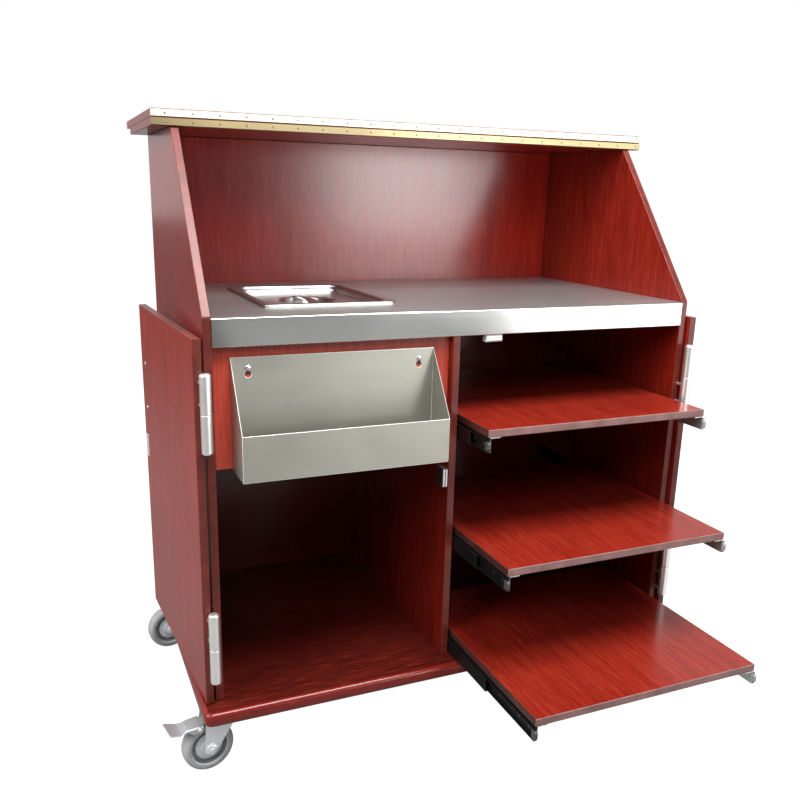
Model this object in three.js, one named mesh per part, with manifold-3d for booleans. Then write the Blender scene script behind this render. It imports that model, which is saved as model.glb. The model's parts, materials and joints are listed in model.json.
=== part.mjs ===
// Mobile waiter service station: a board body on swivel casters with a steel counter and a raised bar top.
// Millimetres, +Z up. Staff stand on the -Y side, guests on the +Y side.
import * as THREE from 'three';
import { mergeVertices } from 'three/addons/utils/BufferGeometryUtils.js';
import Module from 'manifold-3d';

const wasm = await Module();
wasm.setup();

// Body boards
const boardThick = 15;
const bodyWidth = 1025;
const bodyDepth = 565;
const leftBayWidth = 456;
const counterHeight = 873;
const barHeight = 1220;
const seatGap = 0.3;

// Base board
const baseThick = 28;
const baseSide = 30;
const baseFront = 46;
const baseRear = 15;
const baseCorner = 20;
const baseRound = 8;
const casterHeight = 122;

// Side panels: upright front edge up to the counter, then a straight slope back to the bar top
const slopeAboveCounter = 1;
const slopeTopFront = 248;

// Bar top boards and their edge strips
const barSide = 34;
const barFront = 245;
const barLowerRear = 15;
const barUpperRear = 75;
const barChamfer = 10;
const stripThick = 1.2;
const stripHeight = 12;

// Counter sheet
const sheetThick = 1.2;
const apronHeight = 50;
const stretcherHeight = 48;

// Half-size food pan and its lid
const panLength = 325;
const panWidth = 265;
const panLeft = 130;
const panFront = 98;
const panDepth = 150;
const panFlange = 13;
const panCorner = 28;
const panRim = 3;
const panCutGap = 2;
const panCutCorner = 2;
const lidWallGap = 2;
const lidStep = 9;
const lidUpperDepth = 6;
const lidLowerDepth = 8;
const lidRim = 2.6;
const dishRadius = 59;
const dishDepth = 14;
const dishLip = 10;
const dishBack = 165;
const strapWidth = 22;
const strapThick = 2;

// Front panel over the left bay and the rail that hangs on it
const railPanelSetback = 16;
const railPanelBottom = 600;
const railLeft = 48;
const railWidth = 389;
const railBottom = 598;
const railBackHeight = 204;
const railFrontHeight = 83;
const railDepth = 81;
const keyholeInset = 31;
const keyholeDrop = 19;
const keyholeLift = 12;
const keyholeRadius = 6;
const screwRadius = 2.5;
const screwHeadRadius = 5;
const screwHeadThick = 2.5;

// Doors, folded back along the sides
const doorBottomGap = 3;
const doorTop = 841;
const leftDoorWidth = 467;
const rightDoorWidth = 538;
const doorFoldGap = 4;
const doorSeat = 3;

// Drill-in barrel hinges
const barrelRadius = 10;
const barrelHeight = 142;
const barrelChamfer = 2;
const barrelSeam = 0.6;
const hingeEdgeGap = 1;
const hingePinRadius = 4;
const hingePinLength = 38;
const hingeFit = 0.3;
const studRadius = 3;
const studDepth = 22;
const studEnd = 16;
const doorStudOffset = 7;
const panelStudOffset = 6;
const upperHingeMiddle = 713;
const lowerHingeMiddle = 270;

// Bow handles
const handlePitch = 96;
const handleReach = 32;
const handleRadius = 5;
const handleMiddle = 671.5;
const handleFromFree = 36;
const handleStandoff = 1;

// Magnetic catches
const catchHeight = 40;
const catchThick = 12;
const catchDepth = 30;
const catchMiddle = 540;
const catchSetback = 2;
const topCatchWidth = 37;
const topCatchHeight = 15;
const topCatchDepth = 13;
const topCatchLeft = 541;
const poleWidth = 4;
const poleReach = 1.2;

// Pull-out shelves on telescopic slides
const shelfTops = [199, 431, 666.5];
const shelfPulled = [336, 214, 117.5];
const shelfNames = ['bottom', 'middle', 'top'];
const shelfSetback = 5;
const shelfLeftGap = 7.5;
const shelfRightGap = 10.5;
const slideHeight = 30;
const slideThick = 12.7;
const slideSetback = 6;
const slideRearGap = 44;
const slideBelow = 1.5;
const steelThick = 1.3;
const trackGap = 0.4;
const outerLip = 9;
const middleReach = 10.6;
const innerStart = 5.4;
const flangeWidth = 20;

// Casters
const wheelRadius = 50;
const wheelWidth = 30;
const tyreDepth = 12;
const tyreShoulder = 5;
const hubRadius = 17;
const hubRecess = 5;
const axleRadius = 5;
const axleFit = 0.3;
const axleHead = 4;
const axleHeadRadius = 9;
const casterTrail = 35;
const casterInX = 48;
const casterInY = 69;
const casterTurn = 10;
const forkThick = 3;
const forkWheelGap = 3;
const forkTopFront = 27;
const forkTopRear = 42;
const forkTipRadius = 13;
const crownThick = 3;
const crownDrop = 7;
const headRadius = 29;
const headGap = 0.5;
const stemRadius = 6;
const stemDepth = 18;
const stemFit = 0.3;
const pedalPinRadius = 2.5;
const pedalKnuckleRadius = 4;
const pedalPivotAhead = 5;
const pedalPivotRise = 56;
const pedalReach = 74;
const pedalDrop = 16;
const pedalThick = 2.4;
const pedalWidth = 24;
const pedalTipWidth = 48;
const pedalTipLength = 24;

const roundSteps = 16;
const wheelSteps = 24;
const cornerSteps = 4;

const baseTop = casterHeight + baseThick;
const bayLeft = boardThick;
const dividerLeft = bayLeft + leftBayWidth;
const dividerRight = dividerLeft + boardThick;
const bayRight = bodyWidth - boardThick;
const backFront = bodyDepth - boardThick;
const slideLength = backFront - slideSetback - slideRearGap;
const shelfDepth = slideLength;
const barUnder = barHeight - 2 * boardThick;
const supportTop = counterHeight - sheetThick - seatGap;

const laminate = { color: 0x7a2c22, roughness: 0.45, metalness: 0 };
const fasciaLaminate = { color: 0xa53b26, roughness: 0.42, metalness: 0 };
const lacquer = { color: 0xa3261c, roughness: 0.18, metalness: 0 };
const stainless = { color: 0xc9c7c4, roughness: 0.28, metalness: 1 };
const brass = { color: 0xd9b870, roughness: 0.35, metalness: 1 };
const brightSteel = { color: 0xd6d8da, roughness: 0.2, metalness: 1 };
const blackSteel = { color: 0x24201f, roughness: 0.4, metalness: 0.7 };
const zinc = { color: 0x8f9194, roughness: 0.4, metalness: 0.9 };
const greyRubber = { color: 0x77777b, roughness: 0.7, metalness: 0 };
const whitePlastic = { color: 0xe9e6e2, roughness: 0.4, metalness: 0 };

const station = new THREE.Group();

function addPart(parent, name, geometry, finish) {
  const mesh = new THREE.Mesh(geometry, new THREE.MeshStandardMaterial(finish));
  mesh.name = name;
  parent.add(mesh);
  return mesh;
}

function block(x0, x1, y0, y1, z0, z1) {
  const geometry = new THREE.BoxGeometry(Math.abs(x1 - x0), Math.abs(y1 - y0), Math.abs(z1 - z0));
  geometry.translate((x0 + x1) / 2, (y0 + y1) / 2, (z0 + z1) / 2);
  return geometry;
}

function roundedRect(x0, x1, y0, y1, radius, path = new THREE.Shape()) {
  path.moveTo(x0 + radius, y0);
  path.lineTo(x1 - radius, y0);
  path.absarc(x1 - radius, y0 + radius, radius, -Math.PI / 2, 0);
  path.lineTo(x1, y1 - radius);
  path.absarc(x1 - radius, y1 - radius, radius, 0, Math.PI / 2);
  path.lineTo(x0 + radius, y1);
  path.absarc(x0 + radius, y1 - radius, radius, Math.PI / 2, Math.PI);
  path.lineTo(x0, y0 + radius);
  path.absarc(x0 + radius, y0 + radius, radius, Math.PI, 1.5 * Math.PI);
  return path;
}

function outline(points) {
  return new THREE.Shape(points.map(([across, up]) => new THREE.Vector2(across, up)));
}

// A plan shape raised from z0 to z1
function slab(shape, z0, z1) {
  const settings = { depth: z1 - z0, bevelEnabled: false, curveSegments: cornerSteps };
  const geometry = new THREE.ExtrudeGeometry(shape, settings);
  geometry.translate(0, 0, z0);
  return geometry;
}

// A shape drawn in X and Z, thickened from y0 to y1
function slabY(shape, y0, y1) {
  const settings = { depth: y1 - y0, bevelEnabled: false, curveSegments: cornerSteps };
  const geometry = new THREE.ExtrudeGeometry(shape, settings);
  geometry.rotateX(Math.PI / 2);
  geometry.translate(0, y1, 0);
  return geometry;
}

// A shape drawn in Y and Z, thickened from x0 to x1
function slabX(shape, x0, x1) {
  const settings = { depth: x1 - x0, bevelEnabled: false, curveSegments: cornerSteps };
  const geometry = new THREE.ExtrudeGeometry(shape, settings);
  geometry.rotateX(Math.PI / 2);
  geometry.rotateZ(Math.PI / 2);
  geometry.translate(x0, 0, 0);
  return geometry;
}

function rodY(radius, y0, y1, x, z) {
  const geometry = new THREE.CylinderGeometry(radius, radius, y1 - y0, roundSteps);
  geometry.translate(x, (y0 + y1) / 2, z);
  return geometry;
}

function rodZ(radius, z0, z1, x, y) {
  const geometry = new THREE.CylinderGeometry(radius, radius, z1 - z0, roundSteps);
  geometry.rotateX(Math.PI / 2);
  geometry.translate(x, y, (z0 + z1) / 2);
  return geometry;
}

// A profile of radius and height turned about an upright axis
function turnedZ(profile) {
  const points = profile.map(([radius, height]) => new THREE.Vector2(radius, height));
  const geometry = new THREE.LatheGeometry(points, roundSteps);
  geometry.rotateX(Math.PI / 2);
  return geometry;
}

function solidOf(geometry) {
  const bare = geometry.clone();
  bare.deleteAttribute('normal');
  bare.deleteAttribute('uv');
  const merged = mergeVertices(bare, 1e-4);
  const corners = merged.index.array;
  const faces = [];
  for (let at = 0; at < corners.length; at += 3) {
    const [a, b, c] = corners.slice(at, at + 3);
    if (a !== b && b !== c && c !== a) {
      faces.push(a, b, c);
    }
  }
  return new wasm.Manifold(new wasm.Mesh({
    numProp: 3,
    vertProperties: new Float32Array(merged.attributes.position.array),
    triVerts: new Uint32Array(faces),
  }));
}

function geometryOf(solid) {
  const mesh = solid.getMesh();
  const geometry = new THREE.BufferGeometry();
  geometry.setAttribute('position', new THREE.BufferAttribute(mesh.vertProperties, 3));
  geometry.setIndex(new THREE.BufferAttribute(mesh.triVerts, 1));
  const faceted = geometry.toNonIndexed();
  faceted.computeVertexNormals();
  return faceted;
}

function joined(geometries) {
  return geometryOf(geometries.map(solidOf).reduce((whole, piece) => whole.add(piece)));
}

function cut(geometry, cutters) {
  return geometryOf(cutters.map(solidOf).reduce((whole, piece) => whole.subtract(piece), solidOf(geometry)));
}

// Hinge axis of a door: side is -1 for the left door and 1 for the right one
function hingeAxis(side) {
  const panelFace = side < 0 ? 0 : bodyWidth;
  return new THREE.Vector2(panelFace + side * doorFoldGap / 2, -(doorSeat + boardThick + doorFoldGap / 2));
}

// Heights of the two studs in one barrel half, counted from the barrel's seam
function studHeights(middle, up) {
  const nearSeam = middle + up * studEnd;
  const nearEnd = middle + up * (barrelHeight / 2 - studEnd);
  return [nearSeam, nearEnd];
}

const hinges = [
  { level: 'upper', middle: upperHingeMiddle },
  { level: 'lower', middle: lowerHingeMiddle },
];

const casters = [
  { place: 'front_left', x: casterInX - baseSide, y: casterInY - baseFront, brake: true },
  { place: 'front_right', x: bodyWidth + baseSide - casterInX, y: casterInY - baseFront, brake: true },
  { place: 'rear_left', x: casterInX - baseSide, y: bodyDepth + baseRear - casterInY, brake: false },
  { place: 'rear_right', x: bodyWidth + baseSide - casterInX, y: bodyDepth + baseRear - casterInY, brake: false },
];

// Base board with rounded corners and edges, and a socket for each caster stem
function addBase() {
  const plan = roundedRect(-baseSide, bodyWidth + baseSide, -baseFront, bodyDepth + baseRear, baseCorner);
  const board = new THREE.ExtrudeGeometry(plan, {
    depth: baseThick - 2 * baseRound,
    bevelThickness: baseRound,
    bevelSize: baseRound,
    bevelOffset: -baseRound,
    bevelSegments: 3,
    curveSegments: cornerSteps,
  });
  board.translate(0, 0, casterHeight + baseRound);
  const socketTop = casterHeight + stemDepth + stemFit;
  const sockets = casters.map(({ x, y }) => rodZ(stemRadius + stemFit, casterHeight - 1, socketTop, x, y));
  addPart(station, 'base_board', cut(board, sockets), lacquer);
}

// Side panels, bored in the front edge for the hinge studs
function addSidePanel(name, x0, side) {
  const shape = outline([
    [0, baseTop],
    [bodyDepth, baseTop],
    [bodyDepth, barUnder],
    [slopeTopFront, barUnder],
    [0, counterHeight + slopeAboveCounter],
  ]);
  const studX = hingeAxis(side).x - side * panelStudOffset;
  const bores = hinges.flatMap(({ middle }) => studHeights(middle, -1))
    .map((z) => rodY(studRadius + hingeFit, -1, studDepth + hingeFit, studX, z));
  addPart(station, name, cut(slabX(shape, x0, x0 + boardThick), bores), laminate);
}

function addBody() {
  addSidePanel('left_side_panel', 0, -1);
  addSidePanel('right_side_panel', bayRight, 1);
  addPart(station, 'back_panel', block(bayLeft, bayRight, backFront, bodyDepth, baseTop, barUnder), laminate);
  const divider = block(dividerLeft, dividerRight, 0, backFront, baseTop, supportTop);
  addPart(station, 'center_divider', divider, laminate);
  const stretcherBottom = supportTop - stretcherHeight;
  const stretcher = block(dividerRight, bayRight, 0, boardThick, stretcherBottom, supportTop);
  addPart(station, 'counter_stretcher', stretcher, laminate);
}

// Screws that stand out of the rail panel and carry the hanging rail
function addRailPanel() {
  const face = railPanelSetback;
  const panel = block(bayLeft, dividerLeft, face, face + boardThick, railPanelBottom, supportTop);
  const screwZ = railBottom + railBackHeight - keyholeDrop;
  const headBack = face - sheetThick - 2 * seatGap;
  const screws = keyholeXs().flatMap((x) => [
    rodY(screwRadius, headBack - screwHeadThick / 2, face + 1, x, screwZ),
    rodY(screwHeadRadius, headBack - screwHeadThick, headBack, x, screwZ),
  ]);
  addPart(station, 'rail_panel', joined([panel, ...screws]), fasciaLaminate);
}

function keyholeXs() {
  return [railLeft + keyholeInset, railLeft + railWidth - keyholeInset];
}

// Open-topped sheet rail with sloping ends, hung by two keyholes
function addBottleRail() {
  const right = railLeft + railWidth;
  const back = railPanelSetback - seatGap;
  const front = back - railDepth;
  const top = railBottom + railBackHeight;
  const endShape = outline([
    [front, railBottom],
    [back, railBottom],
    [back, top],
    [front, railBottom + railFrontHeight],
  ]);
  const walls = [
    block(railLeft, right, back - sheetThick, back, railBottom, top),
    block(railLeft, right, front, back, railBottom, railBottom + sheetThick),
    block(railLeft, right, front, front + sheetThick, railBottom, railBottom + railFrontHeight),
    slabX(endShape, railLeft, railLeft + sheetThick),
    slabX(endShape, right - sheetThick, right),
  ];
  const screwZ = top - keyholeDrop;
  const slotHalf = screwRadius + seatGap;
  const keyholes = keyholeXs().flatMap((x) => [
    rodY(slotHalf, back - sheetThick - 1, back + 1, x, screwZ),
    block(x - slotHalf, x + slotHalf, back - sheetThick - 1, back + 1, screwZ - keyholeLift, screwZ),
    rodY(keyholeRadius, back - sheetThick - 1, back + 1, x, screwZ - keyholeLift),
  ]);
  addPart(station, 'bottle_rail', cut(joined(walls), keyholes), stainless);
}

// Two bar top boards; one front corner is cut off and the strips follow it
function barPlan(rear) {
  return outline([
    [-barSide, barFront],
    [bodyWidth + barSide - barChamfer, barFront],
    [bodyWidth + barSide, barFront + barChamfer],
    [bodyWidth + barSide, rear],
    [-barSide, rear],
  ]);
}

function addBarTop() {
  const lowerRear = bodyDepth + barLowerRear;
  const upperRear = bodyDepth + barUpperRear;
  const middle = barUnder + boardThick;
  addPart(station, 'bar_top_lower', slab(barPlan(lowerRear), barUnder, middle), laminate);
  addPart(station, 'bar_top_upper', slab(barPlan(upperRear), middle, barHeight), laminate);
  addBarStrip('bar_strip_lower', barUnder);
  addBarStrip('bar_strip_upper', middle);
}

// A flat strip bent round the cut-off corner, centred on its board's edge
function addBarStrip(name, boardBottom) {
  const near = seatGap / 2;
  const far = near + stripThick;
  const bend = Math.tan(Math.PI / 8);
  const left = -barSide;
  const cornerX = bodyWidth + barSide - barChamfer;
  const endX = bodyWidth + barSide;
  const endY = barFront + barChamfer;
  const slant = Math.SQRT1_2;
  const shape = outline([
    [left, barFront - far],
    [cornerX + far * bend, barFront - far],
    [endX + far * slant, endY - far * slant],
    [endX + near * slant, endY - near * slant],
    [cornerX + near * bend, barFront - near],
    [left, barFront - near],
  ]);
  const bottom = boardBottom + (boardThick - stripHeight) / 2;
  addPart(station, name, slab(shape, bottom, bottom + stripHeight), brass);
}

// Counter sheet with a folded front apron and the pan cut-out
function addCounter() {
  const left = bayLeft + seatGap;
  const right = bayRight - seatGap;
  const front = -seatGap - sheetThick;
  const back = backFront - seatGap;
  const under = counterHeight - sheetThick;
  const profile = outline([
    [front, counterHeight - apronHeight],
    [-seatGap, counterHeight - apronHeight],
    [-seatGap, under],
    [back, under],
    [back, counterHeight],
    [front, counterHeight],
  ]);
  const inset = panFlange - panCutGap;
  const hole = roundedRect(
    panLeft + inset,
    panLeft + panWidth - inset,
    panFront + inset,
    panFront + panLength - inset,
    panCutCorner,
  );
  const cutOut = slab(hole, under - 1, counterHeight + 1);
  addPart(station, 'counter_top', cut(slabX(profile, left, right), [cutOut]), stainless);
}

function panPlan(inset, radius, path) {
  return roundedRect(
    panLeft + inset,
    panLeft + panWidth - inset,
    panFront + inset,
    panFront + panLength - inset,
    radius,
    path,
  );
}

function panRing(outerInset, outerRadius, innerInset, innerRadius, z0, z1) {
  const ring = panPlan(outerInset, outerRadius);
  ring.holes.push(panPlan(innerInset, innerRadius, new THREE.Path()));
  return slab(ring, z0, z1);
}

// Deep-drawn pan that hangs by its flange in the counter
function addPan() {
  const bottom = counterHeight - panDepth;
  const flangeBottom = counterHeight + seatGap;
  const rimTop = flangeBottom + panRim;
  const rimCorner = panCorner / 2;
  const wall = panFlange + sheetThick;
  const pieces = [
    panRing(panFlange, panCorner, wall, panCorner - sheetThick, bottom, rimTop),
    slab(panPlan(panFlange, panCorner), bottom, bottom + sheetThick),
    panRing(0, rimCorner, wall, panCorner - sheetThick, rimTop - sheetThick, rimTop),
    panRing(0, rimCorner, sheetThick, rimCorner - sheetThick, flangeBottom, rimTop),
  ];
  addPart(station, 'food_pan', joined(pieces), stainless);
}

// Lid: a flat rim, two sunken steps and a round dish crossed by a strap to lift it by
function addPanLid() {
  const rimBottom = counterHeight + panRim + 2 * seatGap;
  const rimTop = rimBottom + lidRim;
  const stepTop = rimTop - lidUpperDepth;
  const floorTop = stepTop - lidLowerDepth;
  const upper = panFlange + sheetThick + lidWallGap;
  const lower = upper + lidStep;
  const corner = panCorner - lidWallGap;
  const tight = corner - lidStep;
  const dishX = panLeft + panWidth / 2;
  const dishY = panFront + dishBack;
  const floorPlan = panPlan(lower, tight);
  const dishHole = new THREE.Path();
  dishHole.absarc(dishX, dishY, dishRadius - sheetThick, 0, 2 * Math.PI);
  floorPlan.holes.push(dishHole);
  const dishFloor = floorTop - dishDepth;
  const inner = dishRadius - sheetThick;
  const dish = turnedZ([
    [0, dishFloor - sheetThick],
    [dishRadius - dishLip, dishFloor - sheetThick],
    [dishRadius, floorTop - sheetThick],
    [dishRadius, floorTop],
    [inner, floorTop],
    [inner - dishLip, dishFloor],
    [0, dishFloor],
  ]);
  dish.translate(dishX, dishY, 0);
  const strapX = strapWidth / 2;
  const strapY = dishRadius - sheetThick / 2;
  const strapUnder = floorTop - strapThick;
  const strap = block(dishX - strapX, dishX + strapX, dishY - strapY, dishY + strapY, strapUnder, floorTop);
  const pieces = [
    panRing(0, panCorner / 2, upper + sheetThick, corner - sheetThick, rimTop - sheetThick, rimTop),
    panRing(0, panCorner / 2, sheetThick, panCorner / 2 - sheetThick, rimBottom, rimTop),
    panRing(upper, corner, upper + sheetThick, corner - sheetThick, stepTop - sheetThick, rimTop),
    panRing(upper, corner, lower + sheetThick, tight - sheetThick, stepTop - sheetThick, stepTop),
    panRing(lower, tight, lower + sheetThick, tight - sheetThick, floorTop - sheetThick, stepTop),
    slab(floorPlan, floorTop - sheetThick, floorTop),
    dish,
    strap,
  ];
  addPart(station, 'pan_lid', joined(pieces), stainless);
}

// Angle at which the bow handle comes to lie against the side panel
function foldAngle(width) {
  const alongDoor = barrelRadius + hingeEdgeGap + width - handleFromFree;
  return Math.atan2(handleReach + handleStandoff - doorFoldGap, alongDoor);
}

// Lower barrel half: a body with the pin, and two studs into the side panel's front edge
function pinHalf(side, middle) {
  const bottom = middle - barrelHeight / 2;
  const top = middle - barrelSeam / 2;
  const body = turnedZ([
    [0, bottom],
    [barrelRadius - barrelChamfer, bottom],
    [barrelRadius, bottom + barrelChamfer],
    [barrelRadius, top],
    [hingePinRadius, top],
    [hingePinRadius, top + hingePinLength],
    [0, top + hingePinLength],
  ]);
  const reach = -hingeAxis(side).y + studDepth;
  const studs = studHeights(middle, -1).map((z) => rodY(studRadius, 0, reach, -side * panelStudOffset, z));
  return joined([body, ...studs]);
}

// Upper barrel half: a socket over the pin, and two studs into the door's edge
function socketHalf(side, middle) {
  const bottom = middle + barrelSeam / 2;
  const top = middle + barrelHeight / 2;
  const boreTop = middle - barrelSeam / 2 + hingePinLength + hingeFit;
  const bore = hingePinRadius + hingeFit;
  const body = turnedZ([
    [0, boreTop],
    [bore, boreTop],
    [bore, bottom],
    [barrelRadius, bottom],
    [barrelRadius, top - barrelChamfer],
    [barrelRadius - barrelChamfer, top],
    [0, top],
  ]);
  const reach = barrelRadius + hingeEdgeGap + studDepth;
  const studs = studHeights(middle, 1).map((z) => rodY(studRadius, bore + 1, reach, side * doorStudOffset, z));
  return joined([body, ...studs]);
}

// Bow pull: a round bar bent out from the door face and back
function bowHandle(side, faceX, y) {
  const out = -side * (handleReach - handleRadius) / 0.75;
  const half = handlePitch / 2;
  const path = new THREE.CubicBezierCurve3(
    new THREE.Vector3(faceX, y, handleMiddle - half),
    new THREE.Vector3(faceX + out, y, handleMiddle - half),
    new THREE.Vector3(faceX + out, y, handleMiddle + half),
    new THREE.Vector3(faceX, y, handleMiddle + half),
  );
  const section = new THREE.Shape();
  section.absarc(0, 0, handleRadius, 0, 2 * Math.PI);
  return new THREE.ExtrudeGeometry(section, { steps: 14, extrudePath: path, curveSegments: cornerSteps });
}

// A door on its two hinges, drawn folded flat along the side and then turned out to where the handle stops it
function addDoor(hand, side, width) {
  const axis = hingeAxis(side);
  const fixed = new THREE.Group();
  fixed.position.set(axis.x, axis.y, 0);
  station.add(fixed);
  const swung = new THREE.Group();
  swung.position.set(axis.x, axis.y, 0);
  swung.rotation.z = -side * foldAngle(width);
  station.add(swung);
  const near = side * doorFoldGap / 2;
  const far = side * (doorFoldGap / 2 + boardThick);
  const hingeEdge = barrelRadius + hingeEdgeGap;
  const freeEdge = hingeEdge + width;
  const board = block(near, far, hingeEdge, freeEdge, baseTop + doorBottomGap, doorTop);
  const boreEnd = hingeEdge + studDepth + hingeFit;
  const bores = hinges.flatMap(({ middle }) => studHeights(middle, 1))
    .map((z) => rodY(studRadius + hingeFit, hingeEdge - 1, boreEnd, side * doorStudOffset, z));
  addPart(swung, hand + '_door', cut(board, bores), laminate);
  const handle = bowHandle(side, near - side * seatGap, freeEdge - handleFromFree);
  addPart(swung, hand + '_door_handle', handle, brightSteel);
  for (const { level, middle } of hinges) {
    addPart(fixed, hand + '_' + level + '_hinge_pin', pinHalf(side, middle), brightSteel);
    addPart(swung, hand + '_' + level + '_hinge_socket', socketHalf(side, middle), brightSteel);
  }
}

// Magnetic catches: a plastic case with two steel poles showing at the front
function addCatches() {
  const low = catchMiddle - catchHeight / 2;
  const high = catchMiddle + catchHeight / 2;
  const inner = dividerLeft - catchThick;
  const sideCase = block(inner, dividerLeft, catchSetback, catchSetback + catchDepth, low, high);
  const poleX = inner + catchThick / 2;
  const sidePoles = [low + catchHeight / 4, high - catchHeight / 4].map((z) => block(
    poleX - poleWidth,
    poleX + poleWidth,
    catchSetback - poleReach,
    catchSetback + 1,
    z - poleWidth,
    z + poleWidth,
  ));
  addPart(station, 'left_door_catch', joined([sideCase, ...sidePoles]), whitePlastic);

  const right = topCatchLeft + topCatchWidth;
  const top = supportTop - stretcherHeight;
  const bottom = top - topCatchHeight;
  const topCase = block(topCatchLeft, right, catchSetback, catchSetback + topCatchDepth, bottom, top);
  const poleZ = bottom + topCatchHeight / 2;
  const topPoles = [topCatchLeft + topCatchWidth / 4, right - topCatchWidth / 4].map((x) => block(
    x - poleWidth,
    x + poleWidth,
    catchSetback - poleReach,
    catchSetback + 1,
    poleZ - poleWidth,
    poleZ + poleWidth,
  ));
  addPart(station, 'right_door_catch', joined([topCase, ...topPoles]), whitePlastic);
}

// A channel section along Y: web at webStart, lips running to lipEnd, both counted from the wall
function channel(wallX, side, webStart, lipEnd, half, middle, y0) {
  const webFar = webStart + Math.sign(lipEnd - webStart) * steelThick;
  const section = [
    [webStart, -half],
    [lipEnd, -half],
    [lipEnd, -half + steelThick],
    [webFar, -half + steelThick],
    [webFar, half - steelThick],
    [lipEnd, half - steelThick],
    [lipEnd, half],
    [webStart, half],
  ];
  const shape = outline(section.map(([out, up]) => [wallX + side * out, middle + up]));
  return slabY(shape, y0, y0 + slideLength);
}

// Three telescopic members on one wall: side is 1 where the slide stands out towards +X
function addSlide(name, wallX, side, boardBottom, pulled) {
  const outerHalf = slideHeight / 2;
  const middleHalf = outerHalf - steelThick - trackGap;
  const innerHalf = middleHalf - steelThick - trackGap;
  const middle = boardBottom - slideBelow - outerHalf;
  const outer = channel(wallX, side, 0, outerLip, outerHalf, middle, slideSetback);
  addPart(station, name + '_outer', outer, blackSteel);
  const middleWeb = steelThick + trackGap;
  const middleY = slideSetback - pulled / 2;
  const between = channel(wallX, side, middleWeb, middleReach, middleHalf, middle, middleY);
  addPart(station, name + '_middle', between, blackSteel);
  const innerY = shelfSetback - pulled;
  const webNear = slideThick - steelThick;
  const track = channel(wallX, side, slideThick, innerStart, innerHalf, middle, innerY);
  const leg = block(
    wallX + side * webNear, wallX + side * slideThick, innerY, innerY + slideLength, middle, boardBottom,
  );
  const flange = block(
    wallX + side * webNear, wallX + side * (slideThick + flangeWidth),
    innerY, innerY + slideLength, boardBottom - steelThick, boardBottom,
  );
  addPart(station, name + '_inner', joined([track, leg, flange]), blackSteel);
}

function addShelves() {
  shelfNames.forEach((name, row) => {
    const top = shelfTops[row];
    const bottom = top - boardThick;
    const front = shelfSetback - shelfPulled[row];
    const left = dividerRight + shelfLeftGap;
    const right = bayRight - shelfRightGap;
    addPart(station, name + '_shelf', block(left, right, front, front + shelfDepth, bottom, top), laminate);
    addSlide(name + '_left_slide', dividerRight, 1, bottom - seatGap, shelfPulled[row]);
    addSlide(name + '_right_slide', bayRight, -1, bottom - seatGap, shelfPulled[row]);
  });
}

// Tyre and hub in one turned piece, the axle along Y
function casterWheel() {
  const half = wheelWidth / 2;
  const bore = axleRadius + axleFit;
  const tyreIn = wheelRadius - tyreDepth;
  const profile = [
    [bore, -half],
    [hubRadius, -half],
    [hubRadius + 2, -half + hubRecess],
    [tyreIn - 2, -half + hubRecess],
    [tyreIn, -half],
    [wheelRadius - tyreShoulder, -half],
    [wheelRadius, -half + 2 * tyreShoulder],
    [wheelRadius, half - 2 * tyreShoulder],
    [wheelRadius - tyreShoulder, half],
    [tyreIn, half],
    [tyreIn - 2, half - hubRecess],
    [hubRadius + 2, half - hubRecess],
    [hubRadius, half],
    [bore, half],
    [bore, -half],
  ];
  const points = profile.map(([radius, along]) => new THREE.Vector2(radius, along));
  return new THREE.LatheGeometry(points, wheelSteps);
}

// Fork with two tapering legs, crown, swivel head, stem and riveted axle; the swivel axis is at x = y = 0
function casterFork(brake) {
  const legNear = wheelWidth / 2 + forkWheelGap;
  const legFar = legNear + forkThick;
  const headTop = casterHeight - headGap;
  const crownTop = casterHeight - crownDrop;
  const tipLean = Math.PI / 5;
  const shape = new THREE.Shape();
  shape.moveTo(forkTopFront, crownTop);
  shape.lineTo(-forkTopRear, crownTop);
  shape.absarc(-casterTrail, wheelRadius, forkTipRadius, Math.PI, 2 * Math.PI - tipLean);
  shape.closePath();
  const pieces = [
    slabY(shape, legNear, legFar),
    slabY(shape, -legFar, -legNear),
    block(-forkTopRear, forkTopFront, -legFar, legFar, crownTop - crownThick, crownTop),
    rodZ(headRadius, crownTop - crownThick / 2, headTop, 0, 0),
    rodZ(stemRadius, crownTop, casterHeight + stemDepth, 0, 0),
    rodY(axleRadius, -legFar - axleHead / 2, legFar + axleHead / 2, -casterTrail, wheelRadius),
    rodY(axleHeadRadius, legFar - 1, legFar + axleHead, -casterTrail, wheelRadius),
    rodY(axleHeadRadius, -legFar - axleHead, -legFar + 1, -casterTrail, wheelRadius),
  ];
  const fork = joined(pieces);
  const pivotX = pedalPivotAhead - casterTrail;
  const pivotZ = wheelRadius + pedalPivotRise;
  const bore = rodY(pedalPinRadius + axleFit, -legFar - 1, legFar + 1, pivotX, pivotZ);
  return brake ? cut(fork, [bore]) : fork;
}

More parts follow.
